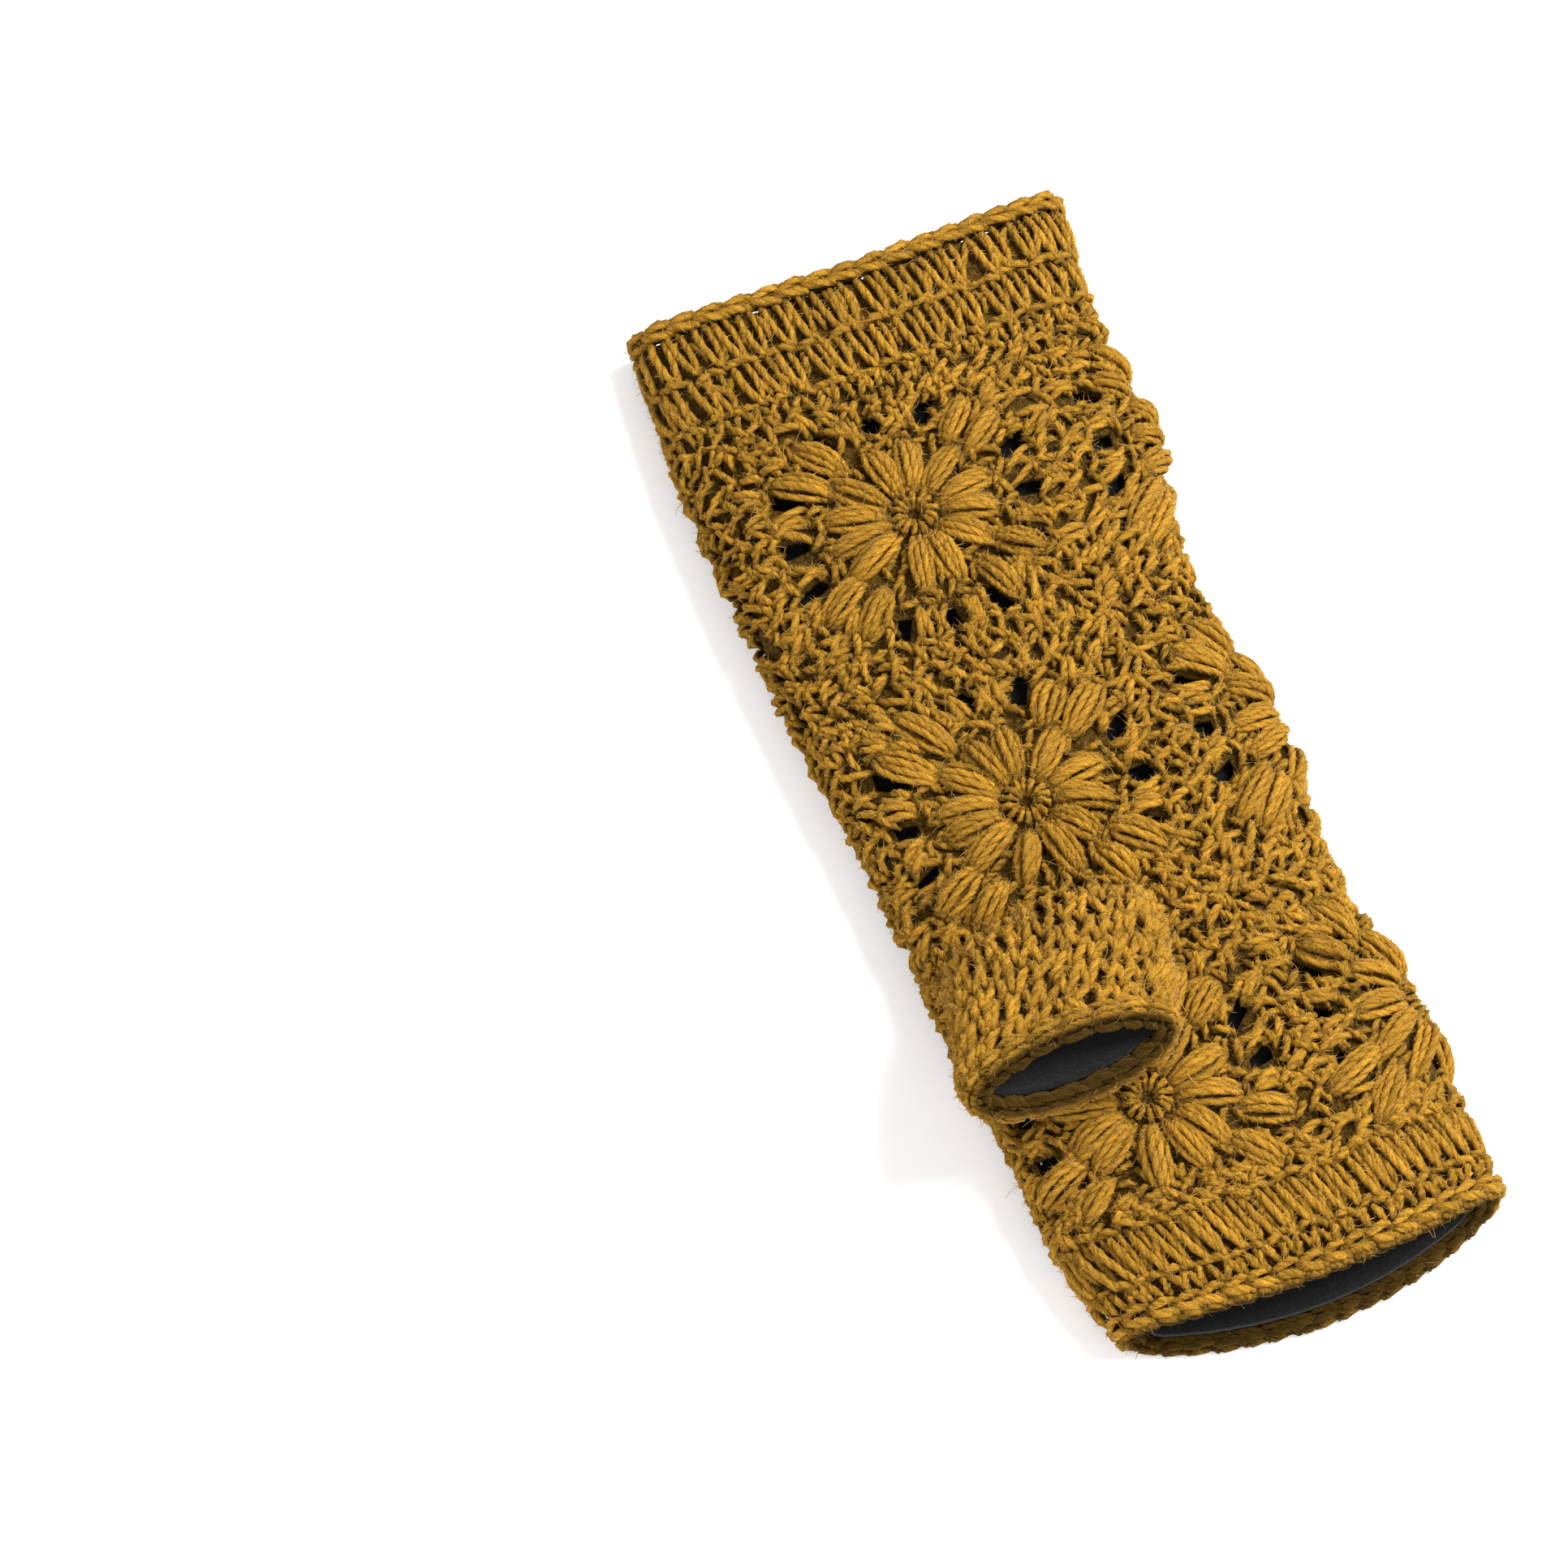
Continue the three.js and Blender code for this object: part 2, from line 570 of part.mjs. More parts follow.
add('finger_cuff', bandBody(FINGER_CUFF_START, FINGER_CUFF, [0.24, 1]), wool);
add('finger_edging', edgingBody(0, FINGER_EDGING), wool);
add('wrist_cuff', bandBody(WRIST_CUFF_START, WRIST_CUFF, [0.2, 0.6, 1]), wool);
add('wrist_edging', edgingBody(WRIST_EDGING_START, WRIST_EDGING), wool);
add('thumb_stall', stallBody(), wool);
add('thumb_edging', stallEdgingBody(), wool);
add('hand_lining', handLiningBody(), fleece);
add('thumb_lining', thumbLiningBody(), fleece);

// The glove is centred over the origin and rests on the plane z = 0
const extent = new THREE.Box3().setFromObject(glove);
const centre = extent.getCenter(new THREE.Vector3());
glove.position.set(-centre.x, -centre.y, -extent.min.z);
glove.updateMatrixWorld(true);

export default glove;
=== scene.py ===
import math

import bpy
import numpy as np
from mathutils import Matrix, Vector


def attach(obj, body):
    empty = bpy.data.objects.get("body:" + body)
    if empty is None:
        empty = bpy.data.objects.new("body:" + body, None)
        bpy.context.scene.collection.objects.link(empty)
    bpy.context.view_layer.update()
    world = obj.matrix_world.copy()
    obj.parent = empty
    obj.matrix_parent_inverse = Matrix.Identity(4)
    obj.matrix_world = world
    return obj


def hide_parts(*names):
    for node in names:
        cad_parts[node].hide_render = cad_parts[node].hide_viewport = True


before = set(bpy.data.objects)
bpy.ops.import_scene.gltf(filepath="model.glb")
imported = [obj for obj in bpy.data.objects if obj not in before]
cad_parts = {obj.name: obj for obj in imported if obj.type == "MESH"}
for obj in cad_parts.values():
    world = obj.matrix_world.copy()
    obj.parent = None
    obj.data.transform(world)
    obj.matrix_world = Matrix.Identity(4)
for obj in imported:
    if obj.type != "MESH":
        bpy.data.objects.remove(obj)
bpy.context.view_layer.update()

# Hand lining
# Black polyester fleece, cut as one sheet and sewn to a tube inside the wool, with a
# hole where the thumb goes through. It shows in the lace's gaps and at both mouths.
MM = 0.001
FINGER_EDGING, FINGER_CUFF, FINGER_ROW = 4.2, 16.6, 57.0
MIDDLE_ROW, WRIST_ROW, WRIST_CUFF, WRIST_EDGING = 69.5, 67.5, 28.4, 4.2
FINGER_ROW_START = FINGER_EDGING + FINGER_CUFF
MIDDLE_ROW_START = FINGER_ROW_START + FINGER_ROW
WRIST_ROW_START = MIDDLE_ROW_START + MIDDLE_ROW
WRIST_CUFF_START = WRIST_ROW_START + WRIST_ROW
WRIST_EDGING_START = WRIST_CUFF_START + WRIST_CUFF
FABRIC_LENGTH = WRIST_EDGING_START + WRIST_EDGING
HAND_WIDTH, HAND_HEIGHT = 88.0, 22.5
SIDE_BOW, LOWER_LIP = 4.6, 4.4
SHOULDER_SHARE, DOME_POWER = 0.42, 2.35
CENTRE_SHIFT = (-1.36, -0.09)
WOOL_WALL, LINING_WALL, LINING_ROOM, LINING_SET_BACK = 2.8, 1.6, 1.3, 2.4

# Sections of the flattened tube: share of its length, width and side shift as shares of
# the hand's width, height as a share of the hand's height
tube_sections = np.array([
    (0.000, 0.903, 0.026, 0.78),
    (0.086, 0.955, 0.002, 0.87),
    (0.179, 0.972, 0.007, 0.98),
    (0.317, 0.958, -0.018, 0.97),
    (0.454, 0.995, 0.000, 1.00),
    (0.596, 0.990, -0.026, 0.98),
    (0.741, 1.067, 0.007, 1.00),
    (0.871, 1.073, 0.019, 0.89),
    (1.000, 1.098, 0.060, 0.80),
])


def smooth_rows(knots, rows, at):
    """Rows of numbers at places between the knots, on one smooth curve through them all."""
    at = np.clip(at, knots[0], knots[-1])
    row = np.clip(np.searchsorted(knots, at, side="right") - 1, 0, len(knots) - 2)
    part = ((at - knots[row]) / (knots[row + 1] - knots[row])).reshape(-1, *[1] * (rows.ndim - 1))
    ended = np.concatenate([2 * rows[:1] - rows[1:2], rows, 2 * rows[-1:] - rows[-2:-1]])
    before, start, end, after = (ended[row + i] for i in range(4))
    leave, arrive = (end - before) / 2, (after - start) / 2
    return (start + leave * part + (3 * (end - start) - 2 * leave - arrive) * part ** 2
            + (2 * (start - end) + leave + arrive) * part ** 3)


# The tube as a table over its length and the way round it: x, the bow along Y and z, then
# the outward direction in x and z
ROUND_STEPS, QUARTER_STEPS, TABLE_MARGIN = 480, 40, 12.0
length_places = np.arange(-TABLE_MARGIN, FABRIC_LENGTH + TABLE_MARGIN + 1)
round_places = np.arange(ROUND_STEPS + 1) / ROUND_STEPS
skin_table = np.zeros((len(length_places), ROUND_STEPS + 1, 5))
perimeters = np.zeros(len(length_places))
row_sizes = smooth_rows(tube_sections[:, 0], tube_sections[:, 1:], length_places / FABRIC_LENGTH)
for row, sizes in enumerate(row_sizes):
    width, centre, height = sizes * (HAND_WIDTH, HAND_WIDTH, HAND_HEIGHT)
    half, shoulder = width / 2, height * SHOULDER_SHARE
    turn = np.linspace(0, math.pi / 2, QUARTER_STEPS)
    dome = np.stack([half * np.sin(turn) ** (2 / DOME_POWER),
                     shoulder + (height - shoulder) * np.cos(turn) ** (2 / DOME_POWER)], 1)
    corner = np.stack([half - shoulder + shoulder * np.cos(turn), shoulder - shoulder * np.sin(turn)], 1)
    right = np.vstack([dome[:-1], corner])
    outline = np.vstack([right, right[::-1] * (-1, 1)])
    reach = np.concatenate([[0], np.cumsum(np.hypot(*np.diff(outline, axis=0).T))])
    perimeters[row] = reach[-1]
    x, z = (np.interp(round_places * reach[-1], reach, outline[:, i]) for i in (0, 1))
    slope_x, slope_z = (np.roll(v[:-1], -1) - np.roll(v[:-1], 1) for v in (x, z))
    size = np.hypot(slope_x, slope_z)
    out_x, out_z = (np.append(v, v[0]) / np.append(size, size[0]) for v in (-slope_z, slope_x))
    side = np.clip(x / half, -1, 1) ** 2
    droop = max(0, 1 - length_places[row] / MIDDLE_ROW_START)
    lip = np.where(z < shoulder, LOWER_LIP * (1 - side) * droop, 0)
    skin_table[row] = np.stack([x + centre, SIDE_BOW * side - lip, z, out_x, out_z], 1)
MIDDLE_PERIMETER = float(np.interp(FABRIC_LENGTH / 2, length_places, perimeters))
PRESS_START, PRESS_END = 0.5, 0.97


def table_rows(table, start, step, share, along):
    """A table's rows at places between its own. They lie step mm apart along, from start
    on, and their columns share out the way round."""
    almost_last = len(table) - 1.001
    over = np.clip((along - start) / step, 0, almost_last)
    i, f = over.astype(int), (over % 1)[..., None]
    columns = table.shape[1] - 1
    turned = (share % 1) * columns
    j = np.minimum(turned.astype(int), columns - 1)
    g = (turned - j)[..., None]
    return ((table[i, j] * (1 - g) + table[i, j + 1] * g) * (1 - f)
            + (table[i + 1, j] * (1 - g) + table[i + 1, j + 1] * g) * f)


def skin(places, radius=0.0):
    """Points of the glove in metres. A place is its share of the way round from the
    middle of the top, how far along it lies and its height over the wool's outer face,
    both in mm. What would stand proud of the underside, by its radius, is pressed flat."""
    share, along, height = np.moveaxis(np.asarray(places, float), -1, 0)
    rows = table_rows(skin_table, length_places[0], 1, share, along)
    x, bow, z, out_x, out_z = np.moveaxis(rows, -1, 0)
    down = np.clip((-out_z - PRESS_START) / (PRESS_END - PRESS_START), 0, 1)
    pressed = down * down * (3 - 2 * down)
    top = height + radius
    lifted = np.where(top > 0, top * (1 - pressed) - radius, height)
    return MM * np.stack([x + out_x * lifted + CENTRE_SHIFT[0],
                          along - FABRIC_LENGTH / 2 + bow + CENTRE_SHIFT[1],
                          z + out_z * lifted], -1)


def colour(code):
    """An sRGB hex colour as the linear colour that a shader takes."""
    parts = [int(code[i:i + 2], 16) / 255 for i in (1, 3, 5)]
    return (*[p / 12.92 if p <= 0.04045 else ((p + 0.055) / 1.055) ** 2.4 for p in parts], 1)


def add_node(tree, kind, inputs=(), **settings):
    """A node with its settings. Each input, named by its identifier, gets a value or a link."""
    made = tree.nodes.new(kind)
    for name, value in settings.items():
        setattr(made, name, value)
    sockets = {socket.identifier: socket for socket in made.inputs}
    for name, value in dict(inputs).items():
        if isinstance(value, bpy.types.NodeSocket):
            tree.links.new(value, sockets[name])
        else:
            sockets[name].default_value = value
    return made


def new_material(name, shader_inputs):
    """A principled material; shader_inputs gets its empty tree and returns the inputs."""
    made = bpy.data.materials.new(name)
    made.use_nodes = True
    tree = made.node_tree
    tree.nodes.clear()
    shader = add_node(tree, "ShaderNodeBsdfPrincipled", shader_inputs(tree))
    add_node(tree, "ShaderNodeOutputMaterial", {"Surface": shader.outputs[0]})
    return made


def maths(tree, operation, *values):
    """A sum, product or the like of numbers and sockets."""
    names = ("Value", "Value_001", "Value_002")
    return add_node(tree, "ShaderNodeMath", zip(names, values), operation=operation).outputs[0]


def noise(tree, place, scale, detail, **others):
    """A noise at a scale per metre; its other inputs are named as on the node."""
    inputs = {"Vector": place, "Scale": scale, "Detail": detail, **others}
    return add_node(tree, "ShaderNodeTexNoise", inputs).outputs[0]


def mixed(tree, share, first, second):
    """A colour between two."""
    inputs = {"Factor_Float": share, "A_Color": first, "B_Color": second}
    return add_node(tree, "ShaderNodeMix", inputs, data_type="RGBA").outputs[2]


def fleece_inputs(tree):
    """Dyed black and dull, with a matted pile. Its tufts are about 0.8 mm."""
    place = add_node(tree, "ShaderNodeTexCoord").outputs["Object"]
    tufts, matting = noise(tree, place, 1200.0, 3.0), noise(tree, place, 200.0, 2.0)
    pile = maths(tree, "ADD", tufts, matting)
    bump = add_node(tree, "ShaderNodeBump", {"Height": pile, "Strength": 0.8, "Distance": 0.0006})
    return {"Base Color": mixed(tree, tufts, colour("#050505"), colour("#1F1E1D")),
            "Normal": bump.outputs[0], "Roughness": 1.0, "Specular IOR Level": 0.1,
            "Sheen Weight": 0.1, "Sheen Roughness": 0.6}


fleece = new_material("black brushed fleece", fleece_inputs)


def shell(outer, count):
    """Faces of a closed shell: the outer ones, the same turned round for the inner
    points, which come count later, and a wall at every free edge."""
    outer = [tuple(f) for f in outer]
    edges = dict.fromkeys((a, b) for f in outer for a, b in zip(f, f[1:] + f[:1]))
    walls = [(b, a, a + count, b + count) for a, b in edges if (b, a) not in edges]
    return outer + [tuple(v + count for v in f[::-1]) for f in outer] + walls


def without_loose(points, faces):
    """The points that faces use, and the faces renumbered to match."""
    used, renamed = np.unique(np.concatenate([list(f) for f in faces]), return_inverse=True)
    ends = np.cumsum([len(f) for f in faces])[:-1]
    return np.asarray(points)[used], [tuple(map(int, f)) for f in np.split(renamed, ends)]


def grid_faces(loops, count, keep=lambda loop, k: True):
    """Quads between loops of count points, each loop closed on itself."""
    faces = []
    for i in range(loops - 1):
        for k in range(count):
            if keep(i, k):
                n = (k + 1) % count
                faces.append((i * count + k, i * count + n, (i + 1) * count + n, (i + 1) * count + k))
    return faces


def linked(name, data):
    """A new object of the scene that holds a mesh, a lamp or a camera."""
    made = bpy.data.objects.new(name, data)
    bpy.context.scene.collection.objects.link(made)
    return made


def take_place(made, slot, *nodes):
    """Makes the object a piece of the one body, in place of its CAD nodes."""
    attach(made, "root")
    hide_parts(*nodes)
    return made


def fleece_piece(node, place, share, along, ripple, depth, wall, faces):
    """A sheet of fleece in place of a node: its outer side lies a depth under the wool's
    outer face, uneven by the ripple, and its inner side a wall further in."""
    sides = [place(np.stack([share, along, ripple - under], -1)).reshape(-1, 3)
             for under in (depth, depth + wall)]
    points, faces = without_loose(np.vstack(sides), shell(faces, along.size))
    name = node + "_fleece"
    mesh = bpy.data.meshes.new(name)
    mesh.from_pydata(points.tolist(), [], faces)
    mesh.shade_smooth()
    mesh.materials.append(fleece)
    return take_place(linked(name, mesh), "fleece", node)


PIECE_GAP, PILE_UNEVENNESS = 0.3, 0.05
RIPPLE, RIPPLE_ALONG, RIPPLE_ROUND, RIPPLE_SHIFT = 0.1, 0.37, 44, 5
SLOT_OFFSET, SLOT_HALF_WIDTH, SLOT_HALF_LENGTH = -21.0, 21.5, 9.2
SLOT_SHARE, SLOT_ALONG = SLOT_OFFSET / MIDDLE_PERIMETER, MIDDLE_ROW_START
THUMB_LINING_ROOM, THUMB_HOLE_MARGIN = 0.6, 1
THUMB_LINING_INSET = WOOL_WALL + THUMB_LINING_ROOM
THUMB_LINING_OVAL = (SLOT_HALF_WIDTH - PIECE_GAP - THUMB_LINING_INSET,
                     SLOT_HALF_LENGTH - PIECE_GAP - THUMB_LINING_INSET)
LINING_DEPTH = WOOL_WALL + LINING_ROOM
LINING_LOOPS, LINING_ROUND = 90, 100


def in_slot(share, along, half_width, half_length):
    """Whether a place lies in an oval of that size round the thumb's slot."""
    across = ((share - SLOT_SHARE + 0.5) % 1 - 0.5) * MIDDLE_PERIMETER / half_width
    return across ** 2 + ((along - SLOT_ALONG) / half_length) ** 2 < 1


def band_places(start, end, loops, count):
    """Loops of places between two places along: how far along and the share round of each."""
    return np.meshgrid(np.linspace(start, end, loops), np.arange(count) / count, indexing="ij")


rng = np.random.default_rng(3)
along, share = band_places(LINING_SET_BACK, FABRIC_LENGTH - LINING_SET_BACK, LINING_LOOPS, LINING_ROUND)
ripple = RIPPLE * np.sin(along * RIPPLE_ALONG + RIPPLE_SHIFT * np.sin(share * RIPPLE_ROUND))
ripple = ripple + rng.normal(0, PILE_UNEVENNESS, along.shape)
at_thumb = in_slot(share, along, *(v + THUMB_HOLE_MARGIN for v in THUMB_LINING_OVAL))
lining_faces = grid_faces(LINING_LOOPS, LINING_ROUND,
                          lambda i, k: not at_thumb[i:i + 2, [k, (k + 1) % LINING_ROUND]].any())
hand_lining = fleece_piece("hand_lining", skin, share, along, ripple, LINING_DEPTH, LINING_WALL, lining_faces)

# Thumb lining
# A short sleeve of the same fleece inside the thumb stall, sewn to the hand lining at
# the slot. It shows as the black inside of the stall's mouth.
STALL_REACH, STALL_RISE, STALL_SIDE_SHIFT, STALL_HALF_HEIGHT = 25.0, 12.4, 7.4, 8.0
STALL_TURNS, STALL_STEP, BEYOND_MOUTH = 240, 0.25, 12
THUMB_LINING_WALL, THUMB_LINING_SET_BACK, THUMB_LINING_START = 1.2, -1.2, -WOOL_WALL + 0.2

# Sections of the stall: reach, rise, side shift and height as shares of the stall's,
# then the pitch and roll of the section in degrees
stall_sections = np.array([
    (0.05, 0.50, 0.06, 1.12, 26, 8),
    (0.26, 0.80, 0.24, 1.06, 46, 6),
    (0.56, 0.95, 0.54, 1.00, 52, 4),
    (1.00, 1.00, 1.00, 1.00, 50, 3),
])
stall_turns = np.arange(STALL_TURNS + 1) / STALL_TURNS * 2 * math.pi
stall_loops = []
for depth in (WOOL_WALL, 0):
    stall_loops.append(skin(np.stack([
        SLOT_SHARE + (SLOT_HALF_WIDTH - PIECE_GAP) * np.cos(stall_turns) / MIDDLE_PERIMETER,
        SLOT_ALONG + (SLOT_HALF_LENGTH - PIECE_GAP) * np.sin(stall_turns),
        np.full(STALL_TURNS + 1, -depth)], -1)) / MM)
stall_root = skin([SLOT_SHARE, SLOT_ALONG, 0]) / MM
for reach, rise, shift, height, pitch, roll in stall_sections:
    pitch, roll = math.radians(pitch), math.radians(roll)
    across = np.array([math.cos(roll), 0, math.sin(roll)])
    through = np.array([-math.sin(roll) * math.sin(pitch), math.cos(pitch), math.cos(roll) * math.sin(pitch)])
    through /= np.linalg.norm(through)
    middle = stall_root + (-shift * STALL_SIDE_SHIFT, -reach * STALL_REACH, rise * STALL_RISE)
    stall_loops.append(middle + (SLOT_HALF_WIDTH - PIECE_GAP) * np.outer(np.cos(stall_turns), across)
                       + height * STALL_HALF_HEIGHT * np.outer(np.sin(stall_turns), through))
stall_loops.append(stall_loops[-1] + BEYOND_MOUTH * np.cross(across, through))
stall_loops = np.array(stall_loops)
stall_knots = np.concatenate([[0], np.cumsum(np.linalg.norm(np.diff(stall_loops, axis=0), axis=2).mean(1))])
stall_knots -= stall_knots[1]
STALL_LENGTH = stall_knots[-2]
stall_places = np.arange(stall_knots[0], stall_knots[-1], STALL_STEP)
stall_table = smooth_rows(stall_knots, stall_loops, stall_places)
stall_out = np.cross(np.gradient(stall_table, axis=1), np.gradient(stall_table, axis=0))
stall_out[:, 0] = stall_out[:, -1] = stall_out[:, 1] + stall_out[:, -2]
stall_out /= np.linalg.norm(stall_out, axis=2, keepdims=True)
mouth_row = stall_table[-8]
if stall_out[-8, 0] @ (mouth_row[0] - mouth_row.mean(0)) < 0:
    stall_out = -stall_out
stall_table = np.concatenate([stall_table, stall_out], 2)


def stall(places, radius=0.0):
    """Points of the stall in metres: share of the way round from its right side over its
    back, place along it from the hand and height over its outer face, both in mm."""
    share, along, height = np.moveaxis(np.asarray(places, float), -1, 0)
    at = table_rows(stall_table, stall_places[0], STALL_STEP, share, along)
    return MM * (at[..., :3] + at[..., 3:] * height[..., None])


THUMB_LOOPS, THUMB_ROUND = 26, 60
along, share = band_places(THUMB_LINING_START, STALL_LENGTH - THUMB_LINING_SET_BACK, THUMB_LOOPS, THUMB_ROUND)
ripple = rng.normal(0, PILE_UNEVENNESS, along.shape)
thumb_faces = [f[::-1] for f in grid_faces(THUMB_LOOPS, THUMB_ROUND)]
thumb_lining = fleece_piece("thumb_lining", stall, share, along, ripple, THUMB_LINING_INSET,
                            THUMB_LINING_WALL, thumb_faces)

# Flower squares
# Crocheted one by one from thick two-ply wool: a ring of loops, twelve puff stitches for
# petals, puffs at the corners and rounds of mesh, then joined into the glove's tube.
COLUMN_OFFSET, COLUMN_DRIFT, COLUMNS = -20.2, 0.067, 3
STRAND_RADIUS, STRAND_STEP, YARN_TWIST = 0.86, 1.5, 900.0
LOOP_COUNT, RING_OUTER = 14, 4.9
PETAL_ROOT, PETAL_TIP, PETAL_HALF_WIDTH, PETAL_HEIGHT = 5.5, 19.2, 2.2, 3.3
PUFF_ROOT, PUFF_TIP, PUFF_HALF_WIDTH, PUFF_HEIGHT = 17.5, 31.0, 2.4, 3.1
PUFF_STRAND_RADIUS, PUFF_STRANDS, CORNER_PUFF_ANGLE = 0.84, 4, 9.0
WIDE_SPACE, FILLER_SPACE = 34, 16
TIP_REACHES, WIDE_REACHES = (15.2, 18.4), (9.4, 12.2, 15.2, 18.4)
FINE_RADIUS = STRAND_RADIUS * 0.95
EDGE_CELLS, SIDE_CELLS = 48, 12
GROUND_DEPTH = (0.5, 2.5)
DOWN, HAIRS, HAIR_LENGTH = 560000.0, 26000.0, 0.0024
DOWN_THICKNESS, HAIR_THICKNESS = 0.048, 0.022
FIBRE_LEAST_LIFT, TABLE_CLEARANCE = 0.0006, 0.00005


def vector_maths(tree, operation, *values):
    """A sum, product or the like of vectors. A dot product is the node's other output."""
    names = ("Vector", "Vector_001", "Vector_002")
    made = add_node(tree, "ShaderNodeVectorMath", zip(names, values), operation=operation)
    return made.outputs[1 if operation == "DOT_PRODUCT" else 0]


def yarn_tree():
    """Strands, drawn as lines with a thickness, become twisted two-ply yarn with loose
    fibres. Faces in the same mesh, where the thickness is 0, are kept as they are."""
    tree = bpy.data.node_groups.new("spun yarn", "GeometryNodeTree")
    made = {}
    for name, kind in (("Strands", "Geometry"), ("Twist per metre", "Float"),
                       ("Down per square metre", "Float"), ("Hairs per square metre", "Float"),
                       ("Hair length", "Float"), ("Seed", "Int"), ("Material", "Material")):
        kind = "NodeSocket" + kind
        made[name] = tree.interface.new_socket(name, in_out="INPUT", socket_type=kind).identifier
    tree.interface.new_socket("Yarn", in_out="OUTPUT", socket_type="NodeSocketGeometry")
    inputs = add_node(tree, "NodeGroupInput").outputs
    strands, twist, down_density, hair_density, hair_length, seed, material = inputs[:7]

    def node(kind, inputs=(), **settings):
        """The first output of a new node."""
        return add_node(tree, kind, inputs, **settings).outputs[0]

    def stored(geometry, name, value, **settings):
        """The geometry with a named attribute."""
        inputs = {"Geometry": geometry, "Name": name, "Value": value}
        return node("GeometryNodeStoreNamedAttribute", inputs, **settings)

    def named(name, data_type="FLOAT"):
        """The values of a named attribute."""
        return node("GeometryNodeInputNamedAttribute", {"Name": name}, data_type=data_type)

    def joined(*parts):
        """Several geometries as one, with real copies of what repeats."""
        join = add_node(tree, "GeometryNodeJoinGeometry")
        for part in parts:
            tree.links.new(part, join.inputs[0])
        return node("GeometryNodeRealizeInstances", {"Geometry": join.outputs[0]})

    place, thickness = node("GeometryNodeInputPosition"), named("thickness")
    is_strand = node("FunctionNodeCompare", {"A": thickness, "B": 1e-6}, operation="GREATER_THAN")
    ground = node("GeometryNodeDeleteGeometry", {"Geometry": strands, "Selection": is_strand})
    ground = stored(ground, "ground", 1.0)

    # Lines with a shade of their own each, and a twist that grows along them
    lines = node("GeometryNodeMeshToCurve", {"Mesh": strands, "Selection": is_strand})
    pick = {"ID": node("GeometryNodeInputIndex"), "Seed": seed}
    lines = stored(lines, "shade", add_node(tree, "FunctionNodeRandomValue", pick).outputs[1], domain="CURVE")
    length = add_node(tree, "GeometryNodeSplineParameter").outputs[1]
    lines = stored(lines, "reach", length)
    first_turn = maths(tree, "MULTIPLY", named("shade"), 40.0)
    turn = maths(tree, "MULTIPLY_ADD", length, twist, first_turn)
    lines = stored(lines, "centre", place, data_type="FLOAT_VECTOR")
    lines = node("GeometryNodeSetCurveTilt", {"Curve": lines, "Tilt": turn})

    # The section of two plies, drawn along the lines
    circle = node("GeometryNodeCurvePrimitiveCircle", {"Resolution": 6, "Radius": 1.0})
    two_ply = vector_maths(tree, "MULTIPLY", place, (1.05, 0.88, 1))
    circle = node("GeometryNodeSetPosition", {"Geometry": circle, "Position": two_ply})
    circle = stored(circle, "profile", place, data_type="FLOAT_VECTOR")
    yarn = node("GeometryNodeCurveToMesh",
                {"Curve": lines, "Profile Curve": circle, "Scale": thickness, "Fill Caps": True})
    # A point's height over the wool's outer face, with the strand's own section counted 2.2 times over. The
    # wool's colour uses it for painted shade on the sides and undersides of strands and where they lie deep,
    # and fibres grow only where it is high.
    from_centre = vector_maths(tree, "SUBTRACT", place, named("centre", "FLOAT_VECTOR"))
    over = vector_maths(tree, "DOT_PRODUCT", from_centre, named("out", "FLOAT_VECTOR"))
    lift = maths(tree, "MULTIPLY_ADD", over, 2.2, named("lift"))
    yarn = stored(yarn, "lift", lift)

    # Short down and longer bent hairs on the outer half of the yarn
    is_outside = node("FunctionNodeCompare", {"A": lift, "B": FIBRE_LEAST_LIFT}, operation="GREATER_THAN")
    down = node("GeometryNodeMeshCone", {"Vertices": 3, "Radius Top": 0.0, "Radius Bottom": DOWN_THICKNESS,
                                         "Depth": 1.0}, fill_type="NONE")
    hair_line = node("GeometryNodeCurveQuadraticBezier",
                     {"Resolution": 3, "Start": (0, 0, 0), "Middle": (0, 0.3, 0.7), "End": (0.3, 1.0, 0.8)})
    hair = node("GeometryNodeCurvePrimitiveCircle", {"Resolution": 3, "Radius": HAIR_THICKNESS})
    hair = node("GeometryNodeCurveToMesh", {"Curve": hair_line, "Profile Curve": hair})
    fibres = []
    for fibre, density, most, lean in ((down, down_density, 0.9, 1.2), (hair, hair_density, 1.2, 1.3)):
        dots = add_node(tree, "GeometryNodeDistributePointsOnFaces",
                        {"Mesh": yarn, "Selection": is_outside, "Density": density, "Seed": seed})
        angles = {"Min": (-lean, -lean, -3.1), "Max": (lean, lean, 3.1), "Seed": seed}
        turned = node("FunctionNodeRandomValue", angles, data_type="FLOAT_VECTOR")
        turned = node("FunctionNodeEulerToRotation", {"Euler": turned})
        turned = node("FunctionNodeRotateRotation", {"Rotation": dots.outputs[2], "Rotate By": turned},
                      rotation_space="LOCAL")
        sizes = {"Min_001": 0.3, "Max_001": most, "Seed": seed}
        size = add_node(tree, "FunctionNodeRandomValue", sizes).outputs[1]
        size = maths(tree, "MULTIPLY", size, hair_length)
        fibres.append(node("GeometryNodeInstanceOnPoints", {"Points": dots.outputs[0], "Instance": fibre,
                                                            "Rotation": turned, "Scale": size}))
    loose = stored(joined(*fibres), "loose", 1.0)

    # All together, with nothing below the table
    whole = joined(ground, yarn, loose)
    on_table = vector_maths(tree, "MAXIMUM", place, (-9, -9, TABLE_CLEARANCE))
    whole = node("GeometryNodeSetPosition", {"Geometry": whole, "Position": on_table})
    whole = node("GeometryNodeSetShadeSmooth", {"Geometry": whole})
    whole = node("GeometryNodeSetMaterial", {"Geometry": whole, "Material": material})
    add_node(tree, "NodeGroupOutput", {tree.interface.items_tree["Yarn"].identifier: whole})
    return tree, made


spun_yarn, yarn_inputs = yarn_tree()


